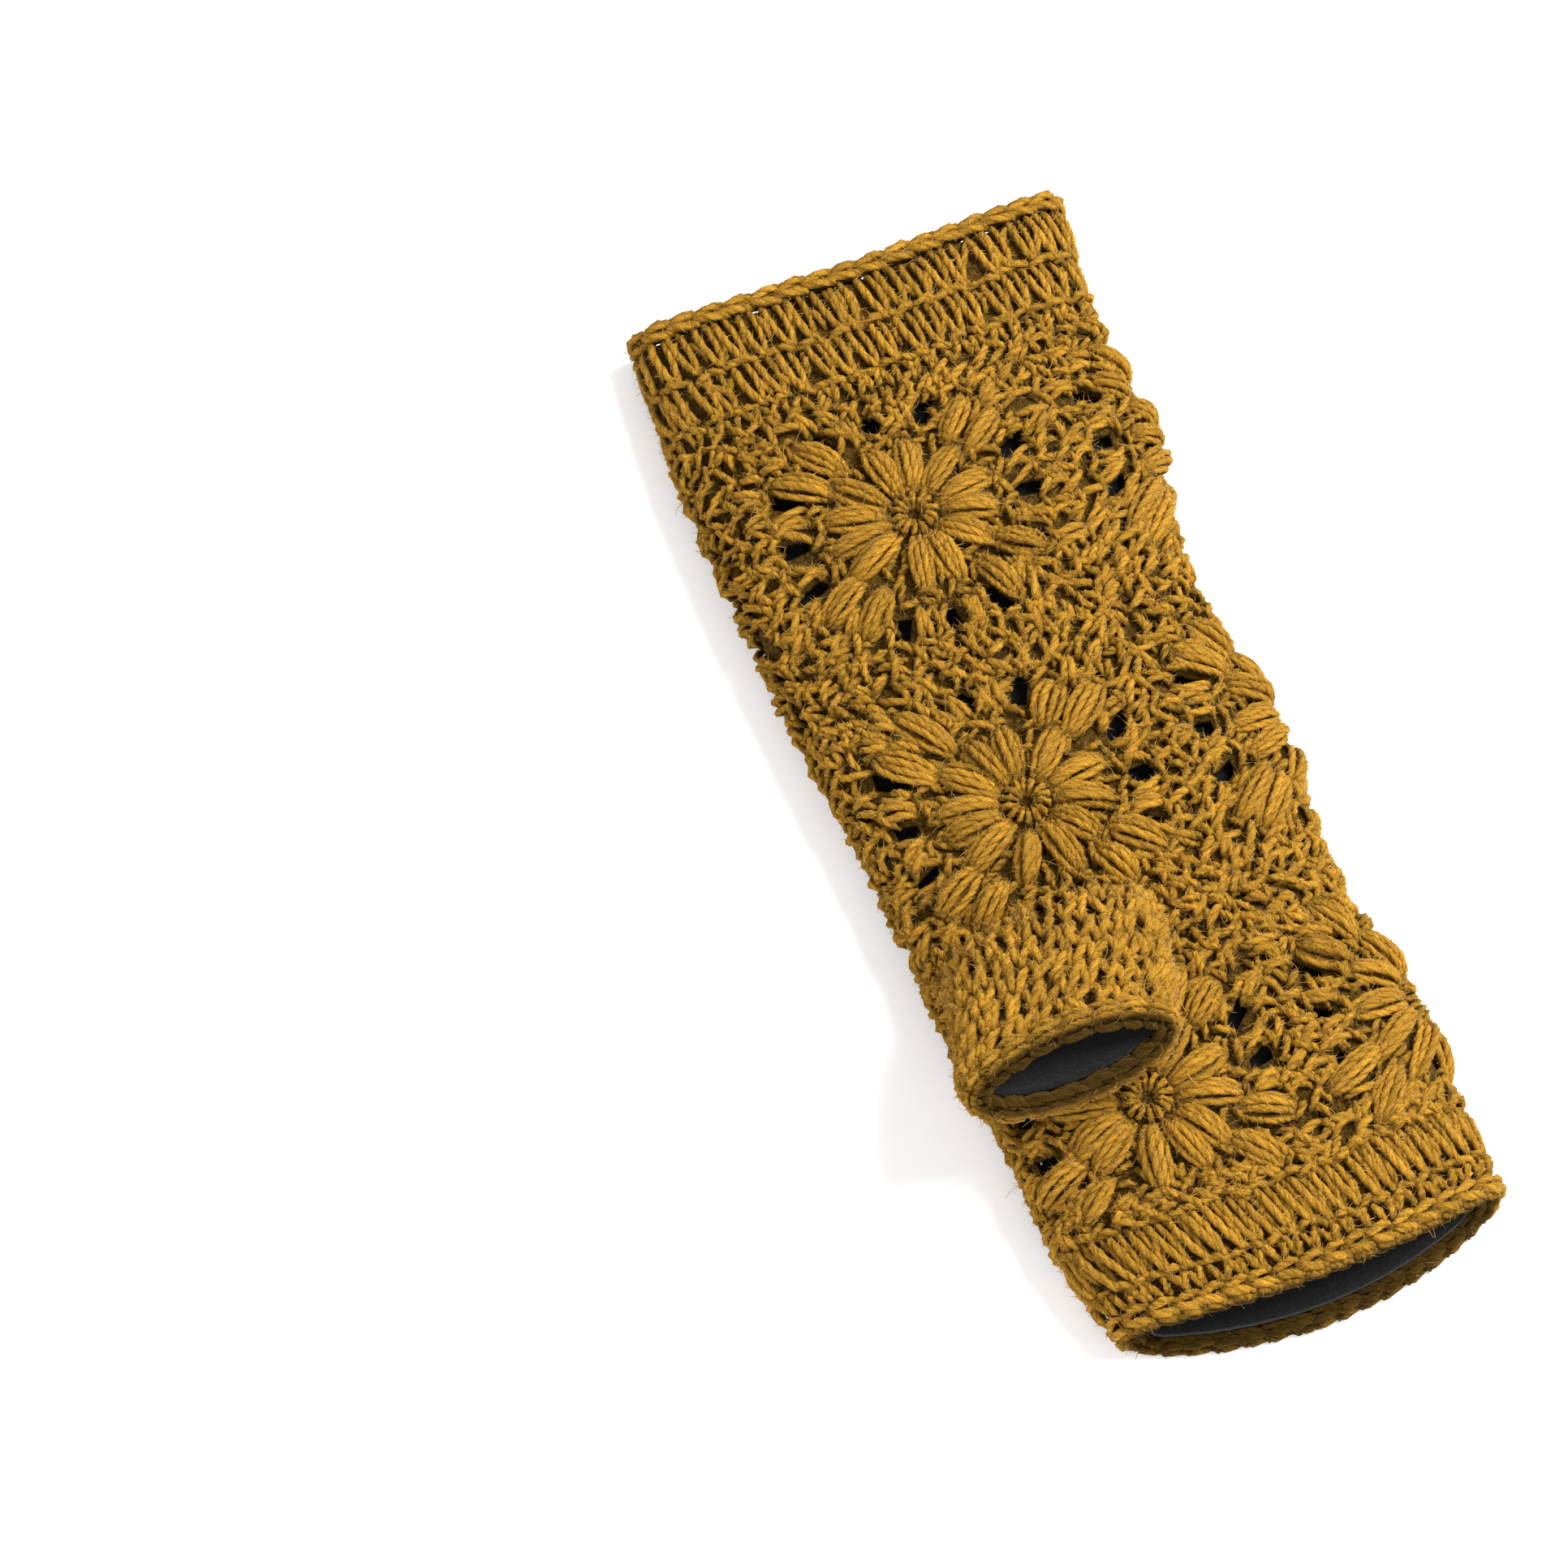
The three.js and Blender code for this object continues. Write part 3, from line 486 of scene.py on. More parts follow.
def wool_inputs(tree):
    """Mustard wool: each strand a little lighter or darker, streaked along its fibres, with painted shade
    in the groove between its plies and where it lies deep, painted dark as shade on the shell
    under the strands, and paler in its loose fibres."""

    def named(name, output=2):
        """A named attribute of the yarn: output 2 is its number, output 1 its vector."""
        return add_node(tree, "ShaderNodeAttribute", attribute_name=name).outputs[output]

    def smooth_step(value, low, high, at_low, at_high):
        """Numbers between two, for values between two others."""
        inputs = {"Value": value, "From Min": low, "From Max": high, "To Min": at_low, "To Max": at_high}
        return add_node(tree, "ShaderNodeMapRange", inputs, interpolation_type="SMOOTHSTEP").outputs[0]

    def two_colours(shade, low, high):
        """Colours between two, from a noise that is mostly near one half."""
        ramp = add_node(tree, "ShaderNodeValToRGB", {"Fac": shade})
        for element, position, code in zip(ramp.color_ramp.elements, (0.34, 0.66), (low, high)):
            element.position, element.color = position, colour(code)
        return ramp.outputs[0]

    shade, reach, lift, ground, loose = map(named, ("shade", "reach", "lift", "ground", "loose"))
    profile = named("profile", 1)
    place = add_node(tree, "ShaderNodeTexCoord").outputs["Object"]

    # Streaks run along the strand, the other noises lie in space
    along = maths(tree, "MULTIPLY_ADD", shade, 50.0, maths(tree, "MULTIPLY", reach, 330.0))
    shift = add_node(tree, "ShaderNodeCombineXYZ", {"Z": along}).outputs[0]
    streak_place = vector_maths(tree, "MULTIPLY_ADD", profile, (3.6, 3.6, 0), shift)
    streaks = noise(tree, streak_place, 1.0, 3.0, Roughness=0.7)
    fluff = noise(tree, place, 2200.0, 3.0, Roughness=0.75)
    tangle = noise(tree, place, 850.0, 3.0, Roughness=0.6, Distortion=1.2)
    dye = noise(tree, place, 70.0, 2.0)
    fibre_shade = maths(tree, "MULTIPLY_ADD", fluff, 0.45, maths(tree, "MULTIPLY", streaks, 0.55))

    # Painted shade: the wool is darker in the groove between the plies and where it lies deep, on the sides
    # and undersides of strands and in their lower layers
    side = maths(tree, "ABSOLUTE", add_node(tree, "ShaderNodeSeparateXYZ", {"Vector": profile}).outputs[0])
    ply = maths(tree, "MAXIMUM", smooth_step(side, 0.05, 0.6, 0.66, 1.0), loose)
    depth = smooth_step(lift, -0.0012, 0.003, 0.12, 1.16)
    tone = maths(tree, "MULTIPLY_ADD", shade, 0.34, maths(tree, "MULTIPLY_ADD", dye, 0.24, 0.65))
    tone = maths(tree, "MULTIPLY", maths(tree, "MULTIPLY", tone, ply), depth)
    dyed = {"Vector": two_colours(fibre_shade, "#724A0B", "#D6A036"), "Scale": tone}
    toned = add_node(tree, "ShaderNodeVectorMath", dyed, operation="SCALE").outputs[0]
    # The shell under the strands stands for the lower strands. It is painted near black to dark brown as the
    # shade between the strands.
    deep = mixed(tree, ground, toned, two_colours(tangle, "#110A01", "#75531A"))
    final = mixed(tree, maths(tree, "MULTIPLY", loose, 0.35), deep, colour("#DDBB78"))
    height = maths(tree, "MULTIPLY_ADD", ply, 0.8, fibre_shade)
    height = maths(tree, "MULTIPLY_ADD", maths(tree, "MULTIPLY", tangle, ground), 4.0, height)
    bump = add_node(tree, "ShaderNodeBump", {"Height": height, "Strength": 1.0, "Distance": 0.0007})
    return {"Base Color": final, "Normal": bump.outputs[0], "Roughness": 1.0, "Specular IOR Level": 0.08,
            "Sheen Weight": 0.2, "Sheen Roughness": 0.5, "Sheen Tint": colour("#E3B55C")}


wool = new_material("mustard two-ply wool", wool_inputs)


def yarn_piece(node, strands, ground, place, seed, fuzz=1.0):
    """A piece of yarn in place of a node. Strands are rows of share, along, height and
    radius in mm, and ground is the places and faces of the closed shell under them."""
    name = node + "_yarn"
    rows = np.vstack(strands)
    starts = np.cumsum([0] + [len(s) for s in strands])
    links = np.arange(len(rows) - 1)
    links = links[~np.isin(links + 1, starts)]
    if place is skin:
        kept = ~in_slot(rows[:, 0], rows[:, 1], SLOT_HALF_WIDTH + PIECE_GAP, SLOT_HALF_LENGTH + PIECE_GAP)
        links = links[kept[links] & kept[links + 1]]
    ground_places, ground_faces = without_loose(*ground)
    faces = [tuple(v + len(rows) for v in f) for f in ground_faces]
    points = np.vstack([place(rows[:, :3], rows[:, 3]), place(ground_places)])
    mesh = bpy.data.meshes.new(name)
    mesh.from_pydata(points.tolist(), np.stack([links, links + 1], 1).tolist(), faces)
    places = np.vstack([rows[:, :3], ground_places])
    out = (place(places + (0, 0, 1)) - place(places)) / MM
    thickness = np.concatenate([rows[:, 3] * MM, np.zeros(len(ground_places))])
    for label, kind, field, values in (("thickness", "FLOAT", "value", thickness),
                                       ("lift", "FLOAT", "value", places[:, 2] * MM),
                                       ("out", "FLOAT_VECTOR", "vector", out.reshape(-1))):
        mesh.attributes.new(label, kind, "POINT").data.foreach_set(field, values)
    made = linked(name, mesh)
    modifier = made.modifiers.new("spun yarn", "NODES")
    modifier.node_group = spun_yarn
    settings = {"Twist per metre": YARN_TWIST, "Down per square metre": DOWN * fuzz,
                "Hairs per square metre": HAIRS * fuzz, "Hair length": HAIR_LENGTH, "Seed": seed,
                "Material": wool}
    for label, value in settings.items():
        modifier[yarn_inputs[label]] = value
    graph = bpy.context.evaluated_depsgraph_get()
    graph.update()
    spun = bpy.data.meshes.new_from_object(made.evaluated_get(graph), preserve_all_data_layers=True,
                                           depsgraph=graph)
    made.modifiers.remove(modifier)
    made.data = spun
    bpy.data.meshes.remove(mesh)
    spun.name = name
    return take_place(made, "wool", node)


def smooth_strand(path, step=STRAND_STEP):
    """A path through a few points, with as many as its length needs."""
    path = np.asarray(path, float)
    knots = np.concatenate([[0], np.cumsum(np.linalg.norm(np.diff(path[:, :3], axis=0), axis=1))])
    return smooth_rows(knots, path, np.linspace(0, knots[-1], max(4, round(knots[-1] / step) + 1)))


def heading(degrees):
    """The unit vectors along an angle and square to it."""
    turn = math.radians(degrees)
    return np.array([math.cos(turn), math.sin(turn)]), np.array([-math.sin(turn), math.cos(turn)])


# A short length's points: places in shares of its length from its middle, then shares of
# its height and of its radius
BIT_ALONG = np.array([-0.5, -0.32, 0.0, 0.32, 0.5])
BIT_RISE = np.array([-0.5, 0.55, 1.0, 0.55, -0.5])
BIT_RADIUS = np.array([0.8, 1.0, 1.1, 1.0, 0.8])


def bit(middle, angle, length, height, radius, rng):
    """A short length of yarn that comes up out of the fabric and goes down again."""
    ahead, aside = heading(angle)
    bow = rng.normal(0, 0.1) * length * (1 - 4 * BIT_ALONG ** 2)
    flat = middle + np.outer(BIT_ALONG * length, ahead) + np.outer(bow, aside)
    return np.column_stack([flat, height * BIT_RISE, radius * BIT_RADIUS])


def line_table(line):
    """Distances along a line of (across, along), with its points and directions."""
    line = np.asarray(line, float)
    ahead = np.gradient(line, axis=0)
    ahead /= np.linalg.norm(ahead, axis=1, keepdims=True)
    knots = np.concatenate([[0], np.cumsum(np.linalg.norm(np.diff(line, axis=0), axis=1))])
    return knots, np.column_stack([line, ahead])


def at_line(table, u):
    """The point and direction at distances along a line."""
    return np.stack([np.interp(u, table[0], column) for column in table[1].T], -1)


def slanted_row(line, pitch, slant, height, radius, rng):
    """A row of short lengths that lean to and fro along a line."""
    table = line_table(line)
    count = round(table[0][-1] / pitch)
    paths = []
    for i in range(count):
        x, y, ahead_x, ahead_y = at_line(table, (i + rng.uniform(-0.2, 0.2)) * table[0][-1] / count)
        angle = math.degrees(math.atan2(ahead_y, ahead_x)) + slant * (-1) ** i + rng.normal(0, 12)
        paths.append(bit((x, y) + rng.normal(0, 0.35, 2), angle, pitch * rng.uniform(1.15, 1.5),
                         height * rng.uniform(0.7, 1.3), radius * rng.uniform(0.88, 1.05), rng))
    return paths


# A leg of a chain link: places in links from its start, then shares of the chain's half
# width and of its height
LEG_ALONG = np.array([-0.15, 0.15, 0.55, 0.95, 1.2])
LEG_SPREAD = np.array([0.05, 0.35, 0.85, 1.1, 0.8])
LEG_RISE = np.array([-0.7, 0.55, 1.0, 0.75, -0.6])


def chain(line, pitch, half_width, height, radius, rng):
    """A row of crochet chain along a line: each link is a V whose legs start from one
    point, rise and end under the next link."""
    table = line_table(line)
    count = max(1, round(table[0][-1] / pitch))
    pitch = table[0][-1] / count
    paths = []
    for i in range(count):
        for leg in (-1, 1):
            u = (i + LEG_ALONG + rng.normal(0, 0.06)) * pitch
            at = at_line(table, u % table[0][-1])
            aside = np.stack([-at[:, 3], at[:, 2]], -1)
            spread = leg * half_width * LEG_SPREAD * rng.uniform(0.85, 1.15)
            rise = height * LEG_RISE + rng.normal(0, 0.12)
            if (np.diff(at[:, 0]) < -pitch).any():
                at[:, :2] = at[:1, :2] + np.outer(u - u[0], at[0, 2:])
            paths.append(np.column_stack([at[:, :2] + aside * spread[:, None], rise, radius * BIT_RADIUS]))
    return paths


# A puff's strand: places in shares of its length, then shares of its half width, of its
# height and of the yarn's radius
PUFF_ALONG = np.array([0.0, 0.12, 0.35, 0.62, 0.86, 1.0])
PUFF_SPREAD = np.array([0.4, 0.62, 0.95, 1.0, 0.75, 0.4])
PUFF_RISE = np.array([-0.25, 0.5, 1.0, 0.92, 0.45, -0.3])
PUFF_RADIUS = PUFF_STRAND_RADIUS * np.array([0.85, 0.95, 1.0, 1.0, 0.95, 0.75])
SIDE_FALL, LOWER_RISE = 0.45, 0.15


def puff(angle, root, tip, half_width, height, rng):
    """A puff stitch: strands that leave one point together, spread and rise in the
    middle and close again at its tip, with a few below them."""
    ahead, aside = heading(angle)
    bend = rng.normal(0, 0.8)
    paths = []
    for number, lift in ((PUFF_STRANDS, 1), (PUFF_STRANDS - 1, LOWER_RISE)):
        for i in range(number):
            s = 2 * i / (number - 1) - 1 + rng.normal(0, 0.06)
            reach = root + (tip - root) * (PUFF_ALONG * rng.uniform(0.95, 1.0) + rng.normal(0, 0.015))
            spread = s * half_width * PUFF_SPREAD * (number - 1) / (PUFF_STRANDS - 1)
            spread = spread + bend * PUFF_ALONG ** 2 + rng.normal(0, 0.1)
            rise = height * PUFF_RISE * (1 - SIDE_FALL * s * s) * lift + rng.normal(0, 0.25)
            flat = np.outer(reach, ahead) + np.outer(spread, aside)
            paths.append(np.column_stack([flat, rise, PUFF_RADIUS * rng.uniform(0.9, 1.12)]))
    closing = (tip + 0.4) * ahead + bend * aside
    paths.append(bit(closing, angle + 90 + rng.normal(0, 15), 3.8, 1.0, FINE_RADIUS, rng))
    return paths


# A loop of the ring: its reach from the middle, its height and its radius, all in mm
LOOP_REACH = RING_OUTER * np.array([0.27, 0.4, 0.66, 0.9, 1.0])
LOOP_RISE = np.array([-0.8, 0.9, 1.8, 1.4, -0.4])
LOOP_RADIUS = STRAND_RADIUS * np.array([0.5, 0.62, 0.85, 0.95, 0.75])


def flower(petal_angles, rng):
    """The middle of a square: a ring of radial loops, its petals and the short lengths
    that fill the spaces between them, in wide spaces also nearer the ring."""
    paths = []
    for i in range(LOOP_COUNT):
        turn = 2 * math.pi * (i + rng.normal(0, 0.08)) / LOOP_COUNT
        reach = LOOP_REACH + rng.normal(0, 0.12)
        rise = LOOP_RISE + rng.normal(0, 0.15)
        turns = turn + rng.normal(0, 0.08) * (reach - 4) / 4
        paths.append(np.column_stack([reach * np.cos(turns), reach * np.sin(turns), rise, LOOP_RADIUS]))
    for angle in petal_angles:
        paths += puff(angle + rng.normal(0, 2), PETAL_ROOT + rng.normal(0, 0.3),
                      PETAL_TIP + rng.normal(0, 0.6), PETAL_HALF_WIDTH * rng.uniform(0.9, 1.08),
                      PETAL_HEIGHT * rng.uniform(0.85, 1.1), rng)
    ordered = np.sort(np.mod(petal_angles, 360))
    for angle, space in zip(ordered, np.diff(np.append(ordered, ordered[0] + 360))):
        number = max(1, round(space / FILLER_SPACE))
        for j in range(number):
            between = angle + space * (j + 1) / (number + 1)
            for reach in WIDE_REACHES if space > WIDE_SPACE else TIP_REACHES:
                ahead, aside = heading(between + rng.normal(0, 2))
                middle = (reach + rng.normal(0, 0.4)) * ahead
                lean = rng.normal(0, 35)
                paths.append(bit(middle, between + lean, 4.2, rng.uniform(0.3, 1.2), FINE_RADIUS, rng))
    return paths


def square_edge(reach, t):
    """A point on the edge of a square, t cells round from the middle of its right side.
    reach is how far the square goes from its flower to the sides, up and down."""
    side_reach, upper, lower = reach
    corners = np.array([(side_reach, upper), (-side_reach, upper),
                        (-side_reach, -lower), (side_reach, -lower)])
    place = (np.asarray(t, float) + SIDE_CELLS / 2) / SIDE_CELLS
    side = np.floor(place).astype(int) % 4
    part = (place - np.floor(place))[..., None]
    return corners[(side + 3) % 4] * (1 - part) + corners[side] * part


def mesh_place(reach, w, t):
    """A place in the mesh: w is 0 at the petals' tips and 1 at the edge of the square."""
    turn = 2 * math.pi * np.asarray(t, float) / EDGE_CELLS
    tips = PETAL_TIP * np.stack([np.cos(turn), np.sin(turn)], -1)
    w = np.asarray(w, float)[..., None]
    return tips * (1 - w) + square_edge(reach, t) * w


GAP_PLACES = ((2, 5, 8), (3, 6, 9))
GAP_BAND, GAP_HALF_WIDTH, MESH_KEPT = (0.2, 0.6), 1.8, 0.86
MESH_END, POST_LENGTH, LEAST_POST = 0.96, 5.4, 2.4


def is_gap(cell, closed_sides):
    """Whether a cell of the mesh is open: three of the twelve on each open side."""
    side, place = divmod(cell + SIDE_CELLS // 2, SIDE_CELLS)
    return side % 4 not in closed_sides and place in GAP_PLACES[side % 2]


def corner_puffs(reach, rng):
    """Two puffs side by side at each corner, each as its direction, its tip and its strands."""
    puffs = []
    for corner in square_edge(reach, SIDE_CELLS * (np.arange(4) + 0.5)):
        diagonal = math.degrees(math.atan2(corner[1], corner[0]))
        for side in (-1, 1):
            angle = diagonal + side * CORNER_PUFF_ANGLE + rng.normal(0, 1.5)
            ahead, aside = heading(angle)
            room = (reach[0] - 2, (reach[1] if corner[1] > 0 else reach[2]) - 1.5)
            tip = min(PUFF_TIP + rng.normal(0, 0.8), *(room / np.abs(ahead)))
            strands = puff(angle, PUFF_ROOT, tip, PUFF_HALF_WIDTH * rng.uniform(0.9, 1.1),
                           PUFF_HEIGHT * rng.uniform(0.85, 1.1), rng)
            puffs.append((ahead, tip, strands))
    return puffs


def post(foot, head, rng):
    """A post of the mesh: short lengths that cross, as many as its length needs."""
    length = np.linalg.norm(head - foot)
    if length < LEAST_POST:
        return []
    upward = math.degrees(math.atan2(head[1] - foot[1], head[0] - foot[0]))
    levels = max(1, round(length / POST_LENGTH))
    paths = []
    for level in range(levels):
        middle = foot + (head - foot) * (level + 0.5) / levels
        for lean in (-1, 1):
            angle = upward + lean * abs(rng.normal(28, 14))
            place = middle + rng.normal(0, 0.4, 2)
            rise = rng.uniform(0.8, 1.8) + 0.25 * lean
            paths.append(bit(place, angle, length / levels * 1.1 + 0.6, rise,
                             STRAND_RADIUS * rng.uniform(0.88, 1.1), rng))
    return paths


def keeps_off(path, places):
    """Whether the path's middle part keeps off all places, each a line and a distance."""
    for start, end, distance in places:
        way = end - start
        for point in path[1:4, :2]:
            share = np.clip((point - start) @ way / (way @ way), 0, 1)
            if np.linalg.norm(point - start - share * way) < distance:
                return False
    return True


def mesh_rounds(reach, closed_sides, puffs, rng):
    """The rounds of mesh outside the flower, in short lengths of yarn: posts of crossed
    ones between rows that slant to and fro, clear of the gaps and of the corner puffs.
    Some are left out, which leaves small dark holes."""
    low, high = GAP_BAND
    foot_at = low - 0.05
    spots = [(k, foot_at, high) for k in range(EDGE_CELLS)]
    spots += [(k + 0.5, foot_at, high) for k in range(EDGE_CELLS) if not is_gap(k, closed_sides)]
    spots += [(0.75 * k + rng.normal(0, 0.1), high, MESH_END) for k in range(EDGE_CELLS * 4 // 3)]
    paths = []
    for t, start, end in spots:
        foot, head = (mesh_place(reach, w, t + rng.normal(0, 0.06)) for w in (start, end))
        paths += post(foot, head, rng)
    turns = np.linspace(0, EDGE_CELLS, 10 * EDGE_CELLS + 1)
    for w, pitch, slant in ((0.08, 3.8, 32), (high + 0.02, 3.8, 34), (0.97, 4.2, 38)):
        line = mesh_place(reach, np.full(len(turns), w), turns)
        paths += slanted_row(line, pitch, slant, 1.5, STRAND_RADIUS, rng)
    clear = [(mesh_place(reach, low + 0.12, k + 0.5), mesh_place(reach, high - 0.14, k + 0.5), GAP_HALF_WIDTH)
             for k in range(EDGE_CELLS) if is_gap(k, closed_sides)]
    clear += [(PUFF_ROOT * ahead, tip * ahead, PUFF_HALF_WIDTH * 0.75) for ahead, tip, strands in puffs]
    return [p for p in paths if keeps_off(p, clear) and rng.random() < MESH_KEPT]


GROUND_RINGS = (1.2, 3.5, 6.0, 9.0, 12.0, 15.0, 18.0)
GROUND_SHARES = (0.0, 0.1, 0.2, 0.33, 0.46, 0.6, 0.7, 0.8, 0.9, 0.985)
GROUND_ROUGHNESS = (0.3, 0.1)


def square_ground(reach, closed_sides, rng):
    """The lattice of the shell under the strands, open at the gaps."""
    cells = np.arange(EDGE_CELLS)
    turns = cells / EDGE_CELLS * 2 * math.pi
    circle = np.stack([np.cos(turns), np.sin(turns)], -1)
    rings = [r * circle for r in GROUND_RINGS]
    rings += [mesh_place(reach, np.full(EDGE_CELLS, w), cells) for w in GROUND_SHARES]

    def is_closed(i, k):
        """Whether a cell of the lattice has its face."""
        w = GROUND_SHARES[max(0, i - len(GROUND_RINGS))]
        return not (GAP_BAND[0] <= w < GAP_BAND[1] and is_gap(k, closed_sides))

    faces = [tuple(range(EDGE_CELLS))]
    faces += [(a, d, c, b) for a, b, c, d in grid_faces(len(rings), EDGE_CELLS, is_closed)]
    flat = np.vstack(rings)
    layers = [np.column_stack([flat, rng.normal(0, roughness, len(flat)) - depth])
              for depth, roughness in zip(GROUND_DEPTH, GROUND_ROUGHNESS)]
    return layers, faces


def on_glove(path, column, middle, perimeter):
    """From a square's own (a, b, height, …) to the glove's places."""
    path = np.array(path, float)
    along = middle + path[:, 1]
    turned = (COLUMN_OFFSET + COLUMN_DRIFT * along) / MIDDLE_PERIMETER + column / COLUMNS
    path[:, 0] = turned + path[:, 0] / perimeter
    path[:, 1] = along
    return path


# Where the petals point, and the rows of squares: start, length, place of the flower and
# the sides without gaps (0 right, 1 up, 2 left, 3 down). The thumb's slot closes two more.
petal_angles = {"front": (80, 45, 12, -14, -42, -70, -102, -142, -166, 170, 140, 110)}
even_angles = tuple(range(0, 360, 30))
square_rows = (
    ("finger", FINGER_ROW_START, FINGER_ROW, FINGER_ROW - 34.2, (3,)),
    ("middle", MIDDLE_ROW_START, MIDDLE_ROW, 34.6, ()),
    ("wrist", WRIST_ROW_START, WRIST_ROW, 35.2, ()),
)
thumb_sides = {("finger", "front"): (1,), ("middle", "front"): (3,)}
BACK_COARSENESS = 1.5
for row_number, (row_name, start, length, flower_at, closed) in enumerate(square_rows):
    for column, column_name in enumerate(("front", "right", "back")):
        rng = np.random.default_rng(100 + 10 * row_number + column)
        middle = start + flower_at
        perimeter = float(np.interp(middle, length_places, perimeters))
        place = (column, middle, perimeter)
        reach = (perimeter / COLUMNS / 2, length - flower_at, flower_at)
        closed_sides = closed + thumb_sides.get((row_name, column_name), ())
        paths = flower(petal_angles.get(column_name, even_angles), rng)
        puffs = corner_puffs(reach, rng)
        paths += [strand for ahead, tip, strands in puffs for strand in strands]
        paths += mesh_rounds(reach, closed_sides, puffs, rng)
        layers, faces = square_ground(reach, closed_sides, rng)
        places = np.vstack([on_glove(layer, *place) for layer in layers])
        gone = in_slot(places[:, 0], places[:, 1], SLOT_HALF_WIDTH, SLOT_HALF_LENGTH)
        faces = shell([f for f in faces if not gone[list(f)].any()], len(places) // 2)
        coarser = BACK_COARSENESS if column_name == "back" else 1.0
        strands = [on_glove(smooth_strand(p, STRAND_STEP * coarser), *place) for p in paths]
        yarn_piece(f"square_{row_name}_{column_name}", strands, (places, faces), skin,
                   10 * row_number + column, 1 / coarser ** 3)

# Cuffs
# The wrist cuff is a short course and two tall ones, and the finger cuff a tall course
# and a short one by the rim. A tall stitch shows two leaning strands that close below.
CUFF_ROUND, CUFF_STRAND_RADIUS = 200, 0.92
SHORT_START, SHORT_END, SHORT_SPACING, ROW_PITCH = 0.2, 4.4, 4.2, 3.6
BAND_MARGIN, BAND_ROUGHNESS = 0.3, (0.35, 0.1)

# The two strands of a tall stitch from head to foot: places up it, places across in
# shares of its spacing, and shares of the course's height
BOLD_UP = np.array([1.02, 0.75, 0.35, 0.04, -0.02, 0.12])
BOLD_ACROSS = np.array([-0.22, -0.27, -0.2, -0.05, 0.12, 0.22])
BOLD_RISE = np.array([-0.4, 0.95, 1.05, 0.85, 0.5, -0.2])
SECOND_UP = np.array([1.0, 0.7, 0.3, 0.02])
SECOND_ACROSS = np.array([0.24, 0.3, 0.24, 0.08])
SECOND_RISE = np.array([-0.3, 0.95, 1.0, 0.1])


def tall_strand(foot, tall, slope, up, across, rise, radius):
    """One strand of a tall stitch, from its foot; slope is how far that leans aside."""
    return np.column_stack([foot[0] + across + slope * (1 - up), foot[1] + up * tall, rise,
                            np.full(len(up), CUFF_STRAND_RADIUS * radius)])


def tall_course(start, end, spacing, lean, second, rng, height=1.5):
    """A course of tall stitches between two places along the tube. Each has a bold
    strand that hooks round below, a second one beside it and short lengths between."""
    tall = end - start
    count = round(MIDDLE_PERIMETER / spacing)
    spacing = MIDDLE_PERIMETER / count
    paths = []
    for i in range(count):
        foot = ((i + rng.normal(0, 0.09)) * spacing, start)
        slope = lean * rng.uniform(0.6, 1.4)
        up = BOLD_UP + rng.normal(0, 0.03)
        rise = BOLD_RISE * height * rng.uniform(0.7, 1.15)
        paths.append(tall_strand(foot, tall, slope, up, BOLD_ACROSS * spacing, rise, rng.uniform(0.92, 1.08)))
        up = SECOND_UP + rng.normal(0, 0.04)
        across = (SECOND_ACROSS + rng.normal(0, 0.03)) * spacing
        rise = SECOND_RISE * height * second * rng.uniform(0.5, 1.2)
        paths.append(tall_strand(foot, tall, slope, up, across, rise, rng.uniform(0.85, 1.0)))
        beside = foot[0] + (0.5 + rng.normal(0, 0.08)) * spacing + slope / 2
        middle = (beside, start + tall * rng.uniform(0.35, 0.7))
        angle = 90 + math.degrees(math.atan2(slope, tall)) + rng.normal(0, 16)
        paths.append(bit(middle, angle, tall * 0.6, rng.uniform(0.4, 1.1), CUFF_STRAND_RADIUS * 0.9, rng))
    return paths


def short_course(start, end, rng, height=1.4):
    """A course of short stitches: a small leaning V each."""
    count = round(MIDDLE_PERIMETER / SHORT_SPACING)
    spacing = MIDDLE_PERIMETER / count
    paths = []
    for i in range(count):
        for side in (-1, 1):
            middle = np.array([(i + 0.25 * side) * spacing, (start + end) / 2]) + rng.normal(0, 0.25, 2)
            angle = 97 - side * abs(rng.normal(16, 8))
            paths.append(bit(middle, angle, (end - start) * 1.15, height * rng.uniform(0.8, 1.2),
                             CUFF_STRAND_RADIUS * rng.uniform(0.85, 1.0), rng))
    return paths


def round_line(along):
    """A closed line round the tube."""
    return np.column_stack([np.linspace(0, MIDDLE_PERIMETER, CUFF_ROUND), np.full(CUFF_ROUND, along)])


def course_row(along, slant, height, rng):
    """The slanted row between two courses of a cuff."""
    return slanted_row(round_line(along), ROW_PITCH, slant, height, CUFF_STRAND_RADIUS, rng)


def band_shell(start, end, loops, count, rng, way=1):
    """The places and faces of a shell under a band's strands, uneven where it shows. With
    way -1 its faces look the other way, as the stall's places run round the other way."""
    along, share = band_places(start, end, loops, count)
    layers = [np.stack([share, along, rng.normal(0, roughness, share.shape) - depth], -1).reshape(-1, 3)
              for depth, roughness in zip(GROUND_DEPTH, BAND_ROUGHNESS)]
    return np.vstack(layers), shell([f[::way] for f in grid_faces(loops, count)], along.size)


def in_shares(paths, perimeter):
    """Smooth strands, from millimetres round a band to shares of its perimeter."""
    return [np.column_stack([p[:, 0] / perimeter, p[:, 1:]]) for p in map(smooth_strand, paths)]


def cuff(name, start, end, paths, loops, rng, seed):
    """A cuff of the tube from its strands."""
    ground = band_shell(start + BAND_MARGIN, end - BAND_MARGIN, loops, CUFF_ROUND, rng)
    yarn_piece(name, in_shares(paths, MIDDLE_PERIMETER), ground, skin, seed)


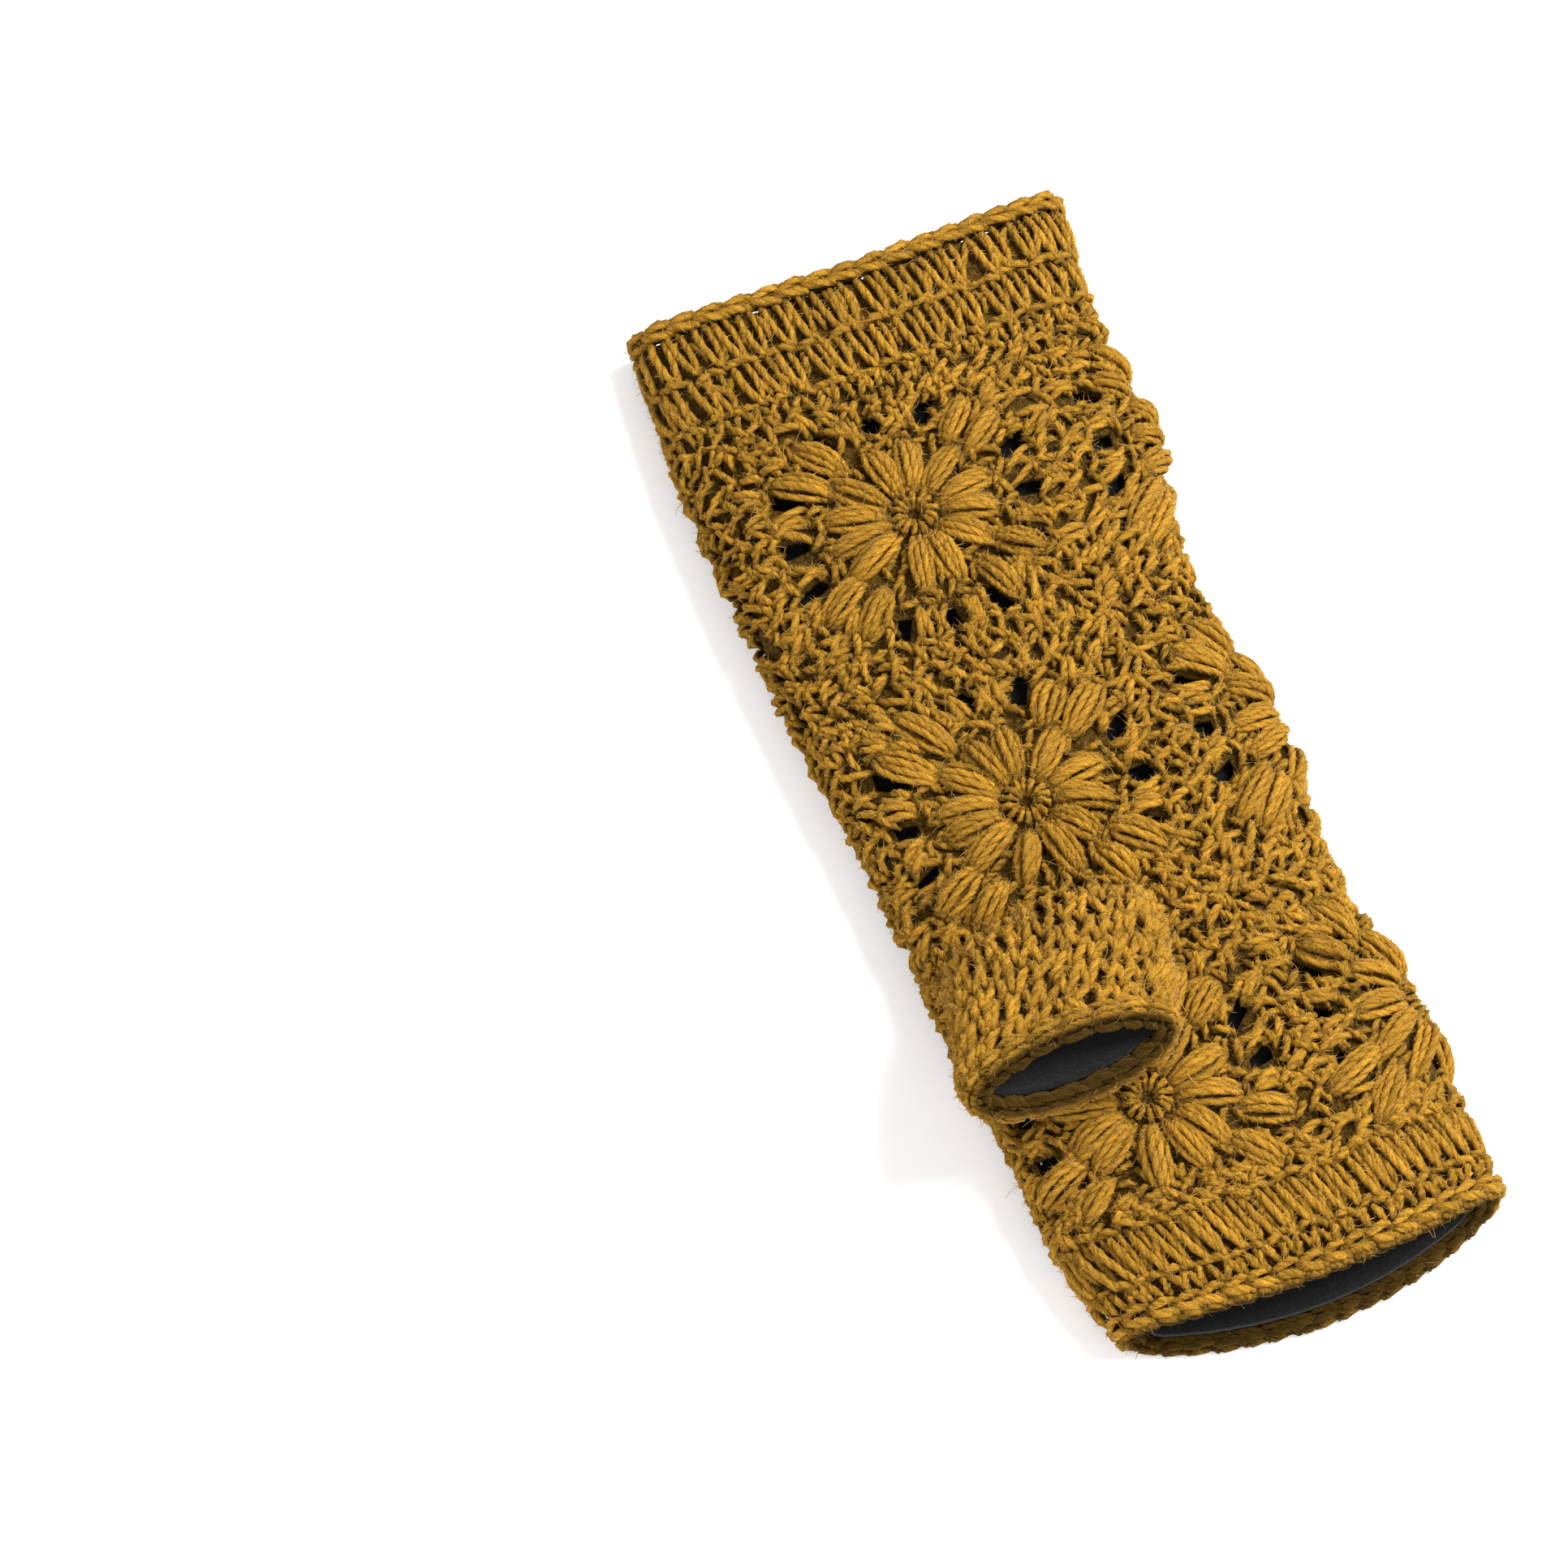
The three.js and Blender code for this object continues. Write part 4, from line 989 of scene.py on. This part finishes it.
rng = np.random.default_rng(41)
# Its stitches stand lower than the finger cuff's, so the wool's painted depth shade makes this cuff darker.
start, end = WRIST_CUFF_START, WRIST_EDGING_START
paths = short_course(start + SHORT_START, start + SHORT_END, rng, 1.1)
paths += course_row(start + 4.9, 14, 1.2, rng)
paths += tall_course(start + 5.2, start + 16.0, 4.8, 1.9, 0.75, rng, 1.15)
paths += course_row(start + 16.3, 20, 1.0, rng)
paths += tall_course(start + 16.6, end - 0.4, 4.8, 1.9, 0.75, rng, 1.1)
cuff("wrist_cuff", start, end, paths, 20, rng, 41)

start, end = FINGER_EDGING, FINGER_ROW_START
paths = short_course(start + SHORT_START, start + SHORT_END, rng)
paths += course_row(start + 4.7, 16, 1.2, rng)
paths += tall_course(start + 4.8, end - 1.0, 3.9, 2.0, 0.55, rng)
paths += course_row(end - 0.8, 16, 1.5, rng)
cuff("finger_cuff", start, end, paths, 14, rng, 42)

# Edgings of the hand
# A chain worked along each rim: its links lie over the edge, so that one row shows
# outside and one row shows on the rim itself.
BEAD_SIDES, BEAD_HALF_LENGTH, BEAD_HALF_HEIGHT = 8, 1.5, 1.2
LINK_LENGTH, LINK_RADIUS = 5.6, STRAND_RADIUS * 1.1


def edging_ground(middle):
    """A round core under the chain."""
    turn = np.arange(BEAD_SIDES) / BEAD_SIDES * 2 * math.pi
    share, along = np.meshgrid(np.arange(CUFF_ROUND) / CUFF_ROUND, middle - BEAD_HALF_LENGTH * np.sin(turn))
    height = np.broadcast_to((BEAD_HALF_HEIGHT * np.cos(turn) - WOOL_WALL / 2)[:, None], share.shape)
    faces = [tuple(v % share.size for v in f[::-1]) for f in grid_faces(BEAD_SIDES + 1, CUFF_ROUND)]
    return np.stack([share, along, height], -1).reshape(-1, 3), faces


def raised(paths, height):
    """The same strands at another height."""
    return [np.column_stack([p[:, :2], p[:, 2] + height, p[:, 3]]) for p in paths]


def edging(middle, rim_side, rng):
    """The chains of one rim: over it, on it and behind it, then slanted lengths that hold
    them. rim_side is -1 where the rim is at the start."""
    rim = middle + rim_side * 1.1
    paths = chain(round_line(middle - rim_side * 0.2), LINK_LENGTH, 1.35, 1.3, LINK_RADIUS, rng)
    paths += raised(chain(round_line(rim), LINK_LENGTH, 0.8, 0.8, LINK_RADIUS, rng), -0.9)
    behind = chain(round_line(rim - rim_side * 0.4), LINK_LENGTH, 0.9, -0.6, STRAND_RADIUS, rng)
    holding = slanted_row(round_line(middle - rim_side * 1.8), 3.8, 35, -0.5, STRAND_RADIUS, rng)
    return paths + raised(behind, -2.5) + raised(holding, -2.7)


for name, start, rim_side, seed in (("finger_edging", 0, -1, 51),
                                    ("wrist_edging", WRIST_EDGING_START, 1, 52)):
    middle = start + FINGER_EDGING / 2
    paths = edging(middle, rim_side, np.random.default_rng(seed))
    yarn_piece(name, in_shares(paths, MIDDLE_PERIMETER), edging_ground(middle), skin, seed)

# Thumb stall and its edging
# Courses of short stitches worked round the slot in the seam, then a chain edge. It
# bends over and lies towards the fingers.
STALL_PERIMETER, STALL_ROUND = 95.0, 90
STALL_COURSES, STALL_STITCHES = 7, 33
STALL_LINK, STALL_LINK_RADIUS = 4.7, STRAND_RADIUS * 1.05


def stall_place(stitch, along, rng):
    """About the place of one stitch of a course."""
    return np.array([stitch * STALL_PERIMETER / STALL_STITCHES, along]) + rng.normal(0, 0.3, 2)


def stall_piece(name, paths, start, end, loops, rng, seed):
    """A piece of the stall from its strands and the ends of the shell under them."""
    ground = band_shell(start, end, loops, STALL_ROUND, rng, -1)
    yarn_piece(name, in_shares(paths, STALL_PERIMETER), ground, stall, seed)


rng = np.random.default_rng(61)
paths = []
for course in range(STALL_COURSES):
    low, high = (STALL_LENGTH * (course + i) / STALL_COURSES for i in (0, 1))
    tall = high - low
    for i in range(STALL_STITCHES):
        stitch = i + 0.5 * (course % 2)
        for side in (-1, 1):
            middle = stall_place(stitch + 0.25 * side, (low + high) / 2 + 0.3, rng)
            angle = 86 + side * abs(rng.normal(17, 10))
            paths.append(bit(middle, angle, tall * rng.uniform(1.15, 1.45), rng.uniform(0.8, 1.8),
                             STRAND_RADIUS * rng.uniform(1.08, 1.25), rng))
        middle = stall_place(stitch + 0.5, low, rng)
        paths.append(bit(middle, rng.normal(90, 35), tall * 0.9, rng.uniform(0.3, 0.8), STRAND_RADIUS, rng))
stall_piece("thumb_stall", paths, -WOOL_WALL, STALL_LENGTH - 0.2, 16, rng, 61)

line = np.column_stack([np.linspace(0, STALL_PERIMETER, 120), np.full(120, STALL_LENGTH + 1.5)])
paths = chain(line, STALL_LINK, 1.2, 1.1, STALL_LINK_RADIUS, rng)
line[:, 1] += 1.3
paths += raised(chain(line, STALL_LINK, 0.8, 0.8, STALL_LINK_RADIUS, rng), -1.0)
paths += raised(chain(line, STALL_LINK, 0.8, -0.5, STRAND_RADIUS, rng), -2.5)
stall_piece("thumb_edging", paths, STALL_LENGTH + 0.5, STALL_LENGTH + 2.9, 5, rng, 62)

# Table, light and camera
# The photo is taken on seamless white, with soft light from the upper right that leaves
# a faint cool shadow to the left.
TABLE_HALF, LAMP_DISTANCE = 3, 1.3
CAMERA_AZIMUTH, CAMERA_ELEVATION, CAMERA_ANGLE, CAMERA_DISTANCE = -22, 62, 15.8456, 1.1424
# The card glows a little by itself. This is a painted glow that lightens the shadow on it and lights the
# glove from below.
white = new_material("glowing white card", lambda tree: {
    "Base Color": (0.86, 0.86, 0.87, 1), "Roughness": 0.9, "Emission Color": (1.0, 1.0, 1.0, 1),
    "Emission Strength": 0.3})
mesh = bpy.data.meshes.new("table")
corners = [(x * TABLE_HALF, y * TABLE_HALF, 0) for x, y in ((-1, -1), (1, -1), (1, 1), (-1, 1))]
mesh.from_pydata(corners, [], [(0, 1, 2, 3)])
mesh.materials.append(white)
table = linked("table", mesh)

scene = bpy.context.scene
scene.world = bpy.data.worlds.new("studio")
scene.world.use_nodes = True
background = scene.world.node_tree.nodes["Background"].inputs
background["Color"].default_value = (1.0, 0.99, 1.0, 1)
background["Strength"].default_value = 0.58
target = Vector((-0.0548, 0.0173, 0.0095))
for name, direction, power, size in (("key", (0.8, -0.05, 1.0), 26.0, 0.7),
                                     ("fill", (-0.35, -1.0, 0.65), 9.0, 1.2)):
    lamp = bpy.data.lights.new(name, "AREA")
    lamp.energy, lamp.size = power, size
    made = linked(name, lamp)
    made.location = target + Vector(direction).normalized() * LAMP_DISTANCE
    made.rotation_euler = Vector(direction).to_track_quat("Z", "Y").to_euler()

azimuth, elevation = math.radians(CAMERA_AZIMUTH), math.radians(CAMERA_ELEVATION)
level = math.cos(elevation)
back = Vector((math.sin(azimuth) * level, -math.cos(azimuth) * level, math.sin(elevation)))
camera = linked("camera", bpy.data.cameras.new("camera"))
camera.data.angle = math.radians(CAMERA_ANGLE)
camera.location = target + back * CAMERA_DISTANCE
camera.rotation_euler = (-back).to_track_quat("-Z", "Y").to_euler()
scene.camera = camera
scene.view_settings.view_transform = "Standard"
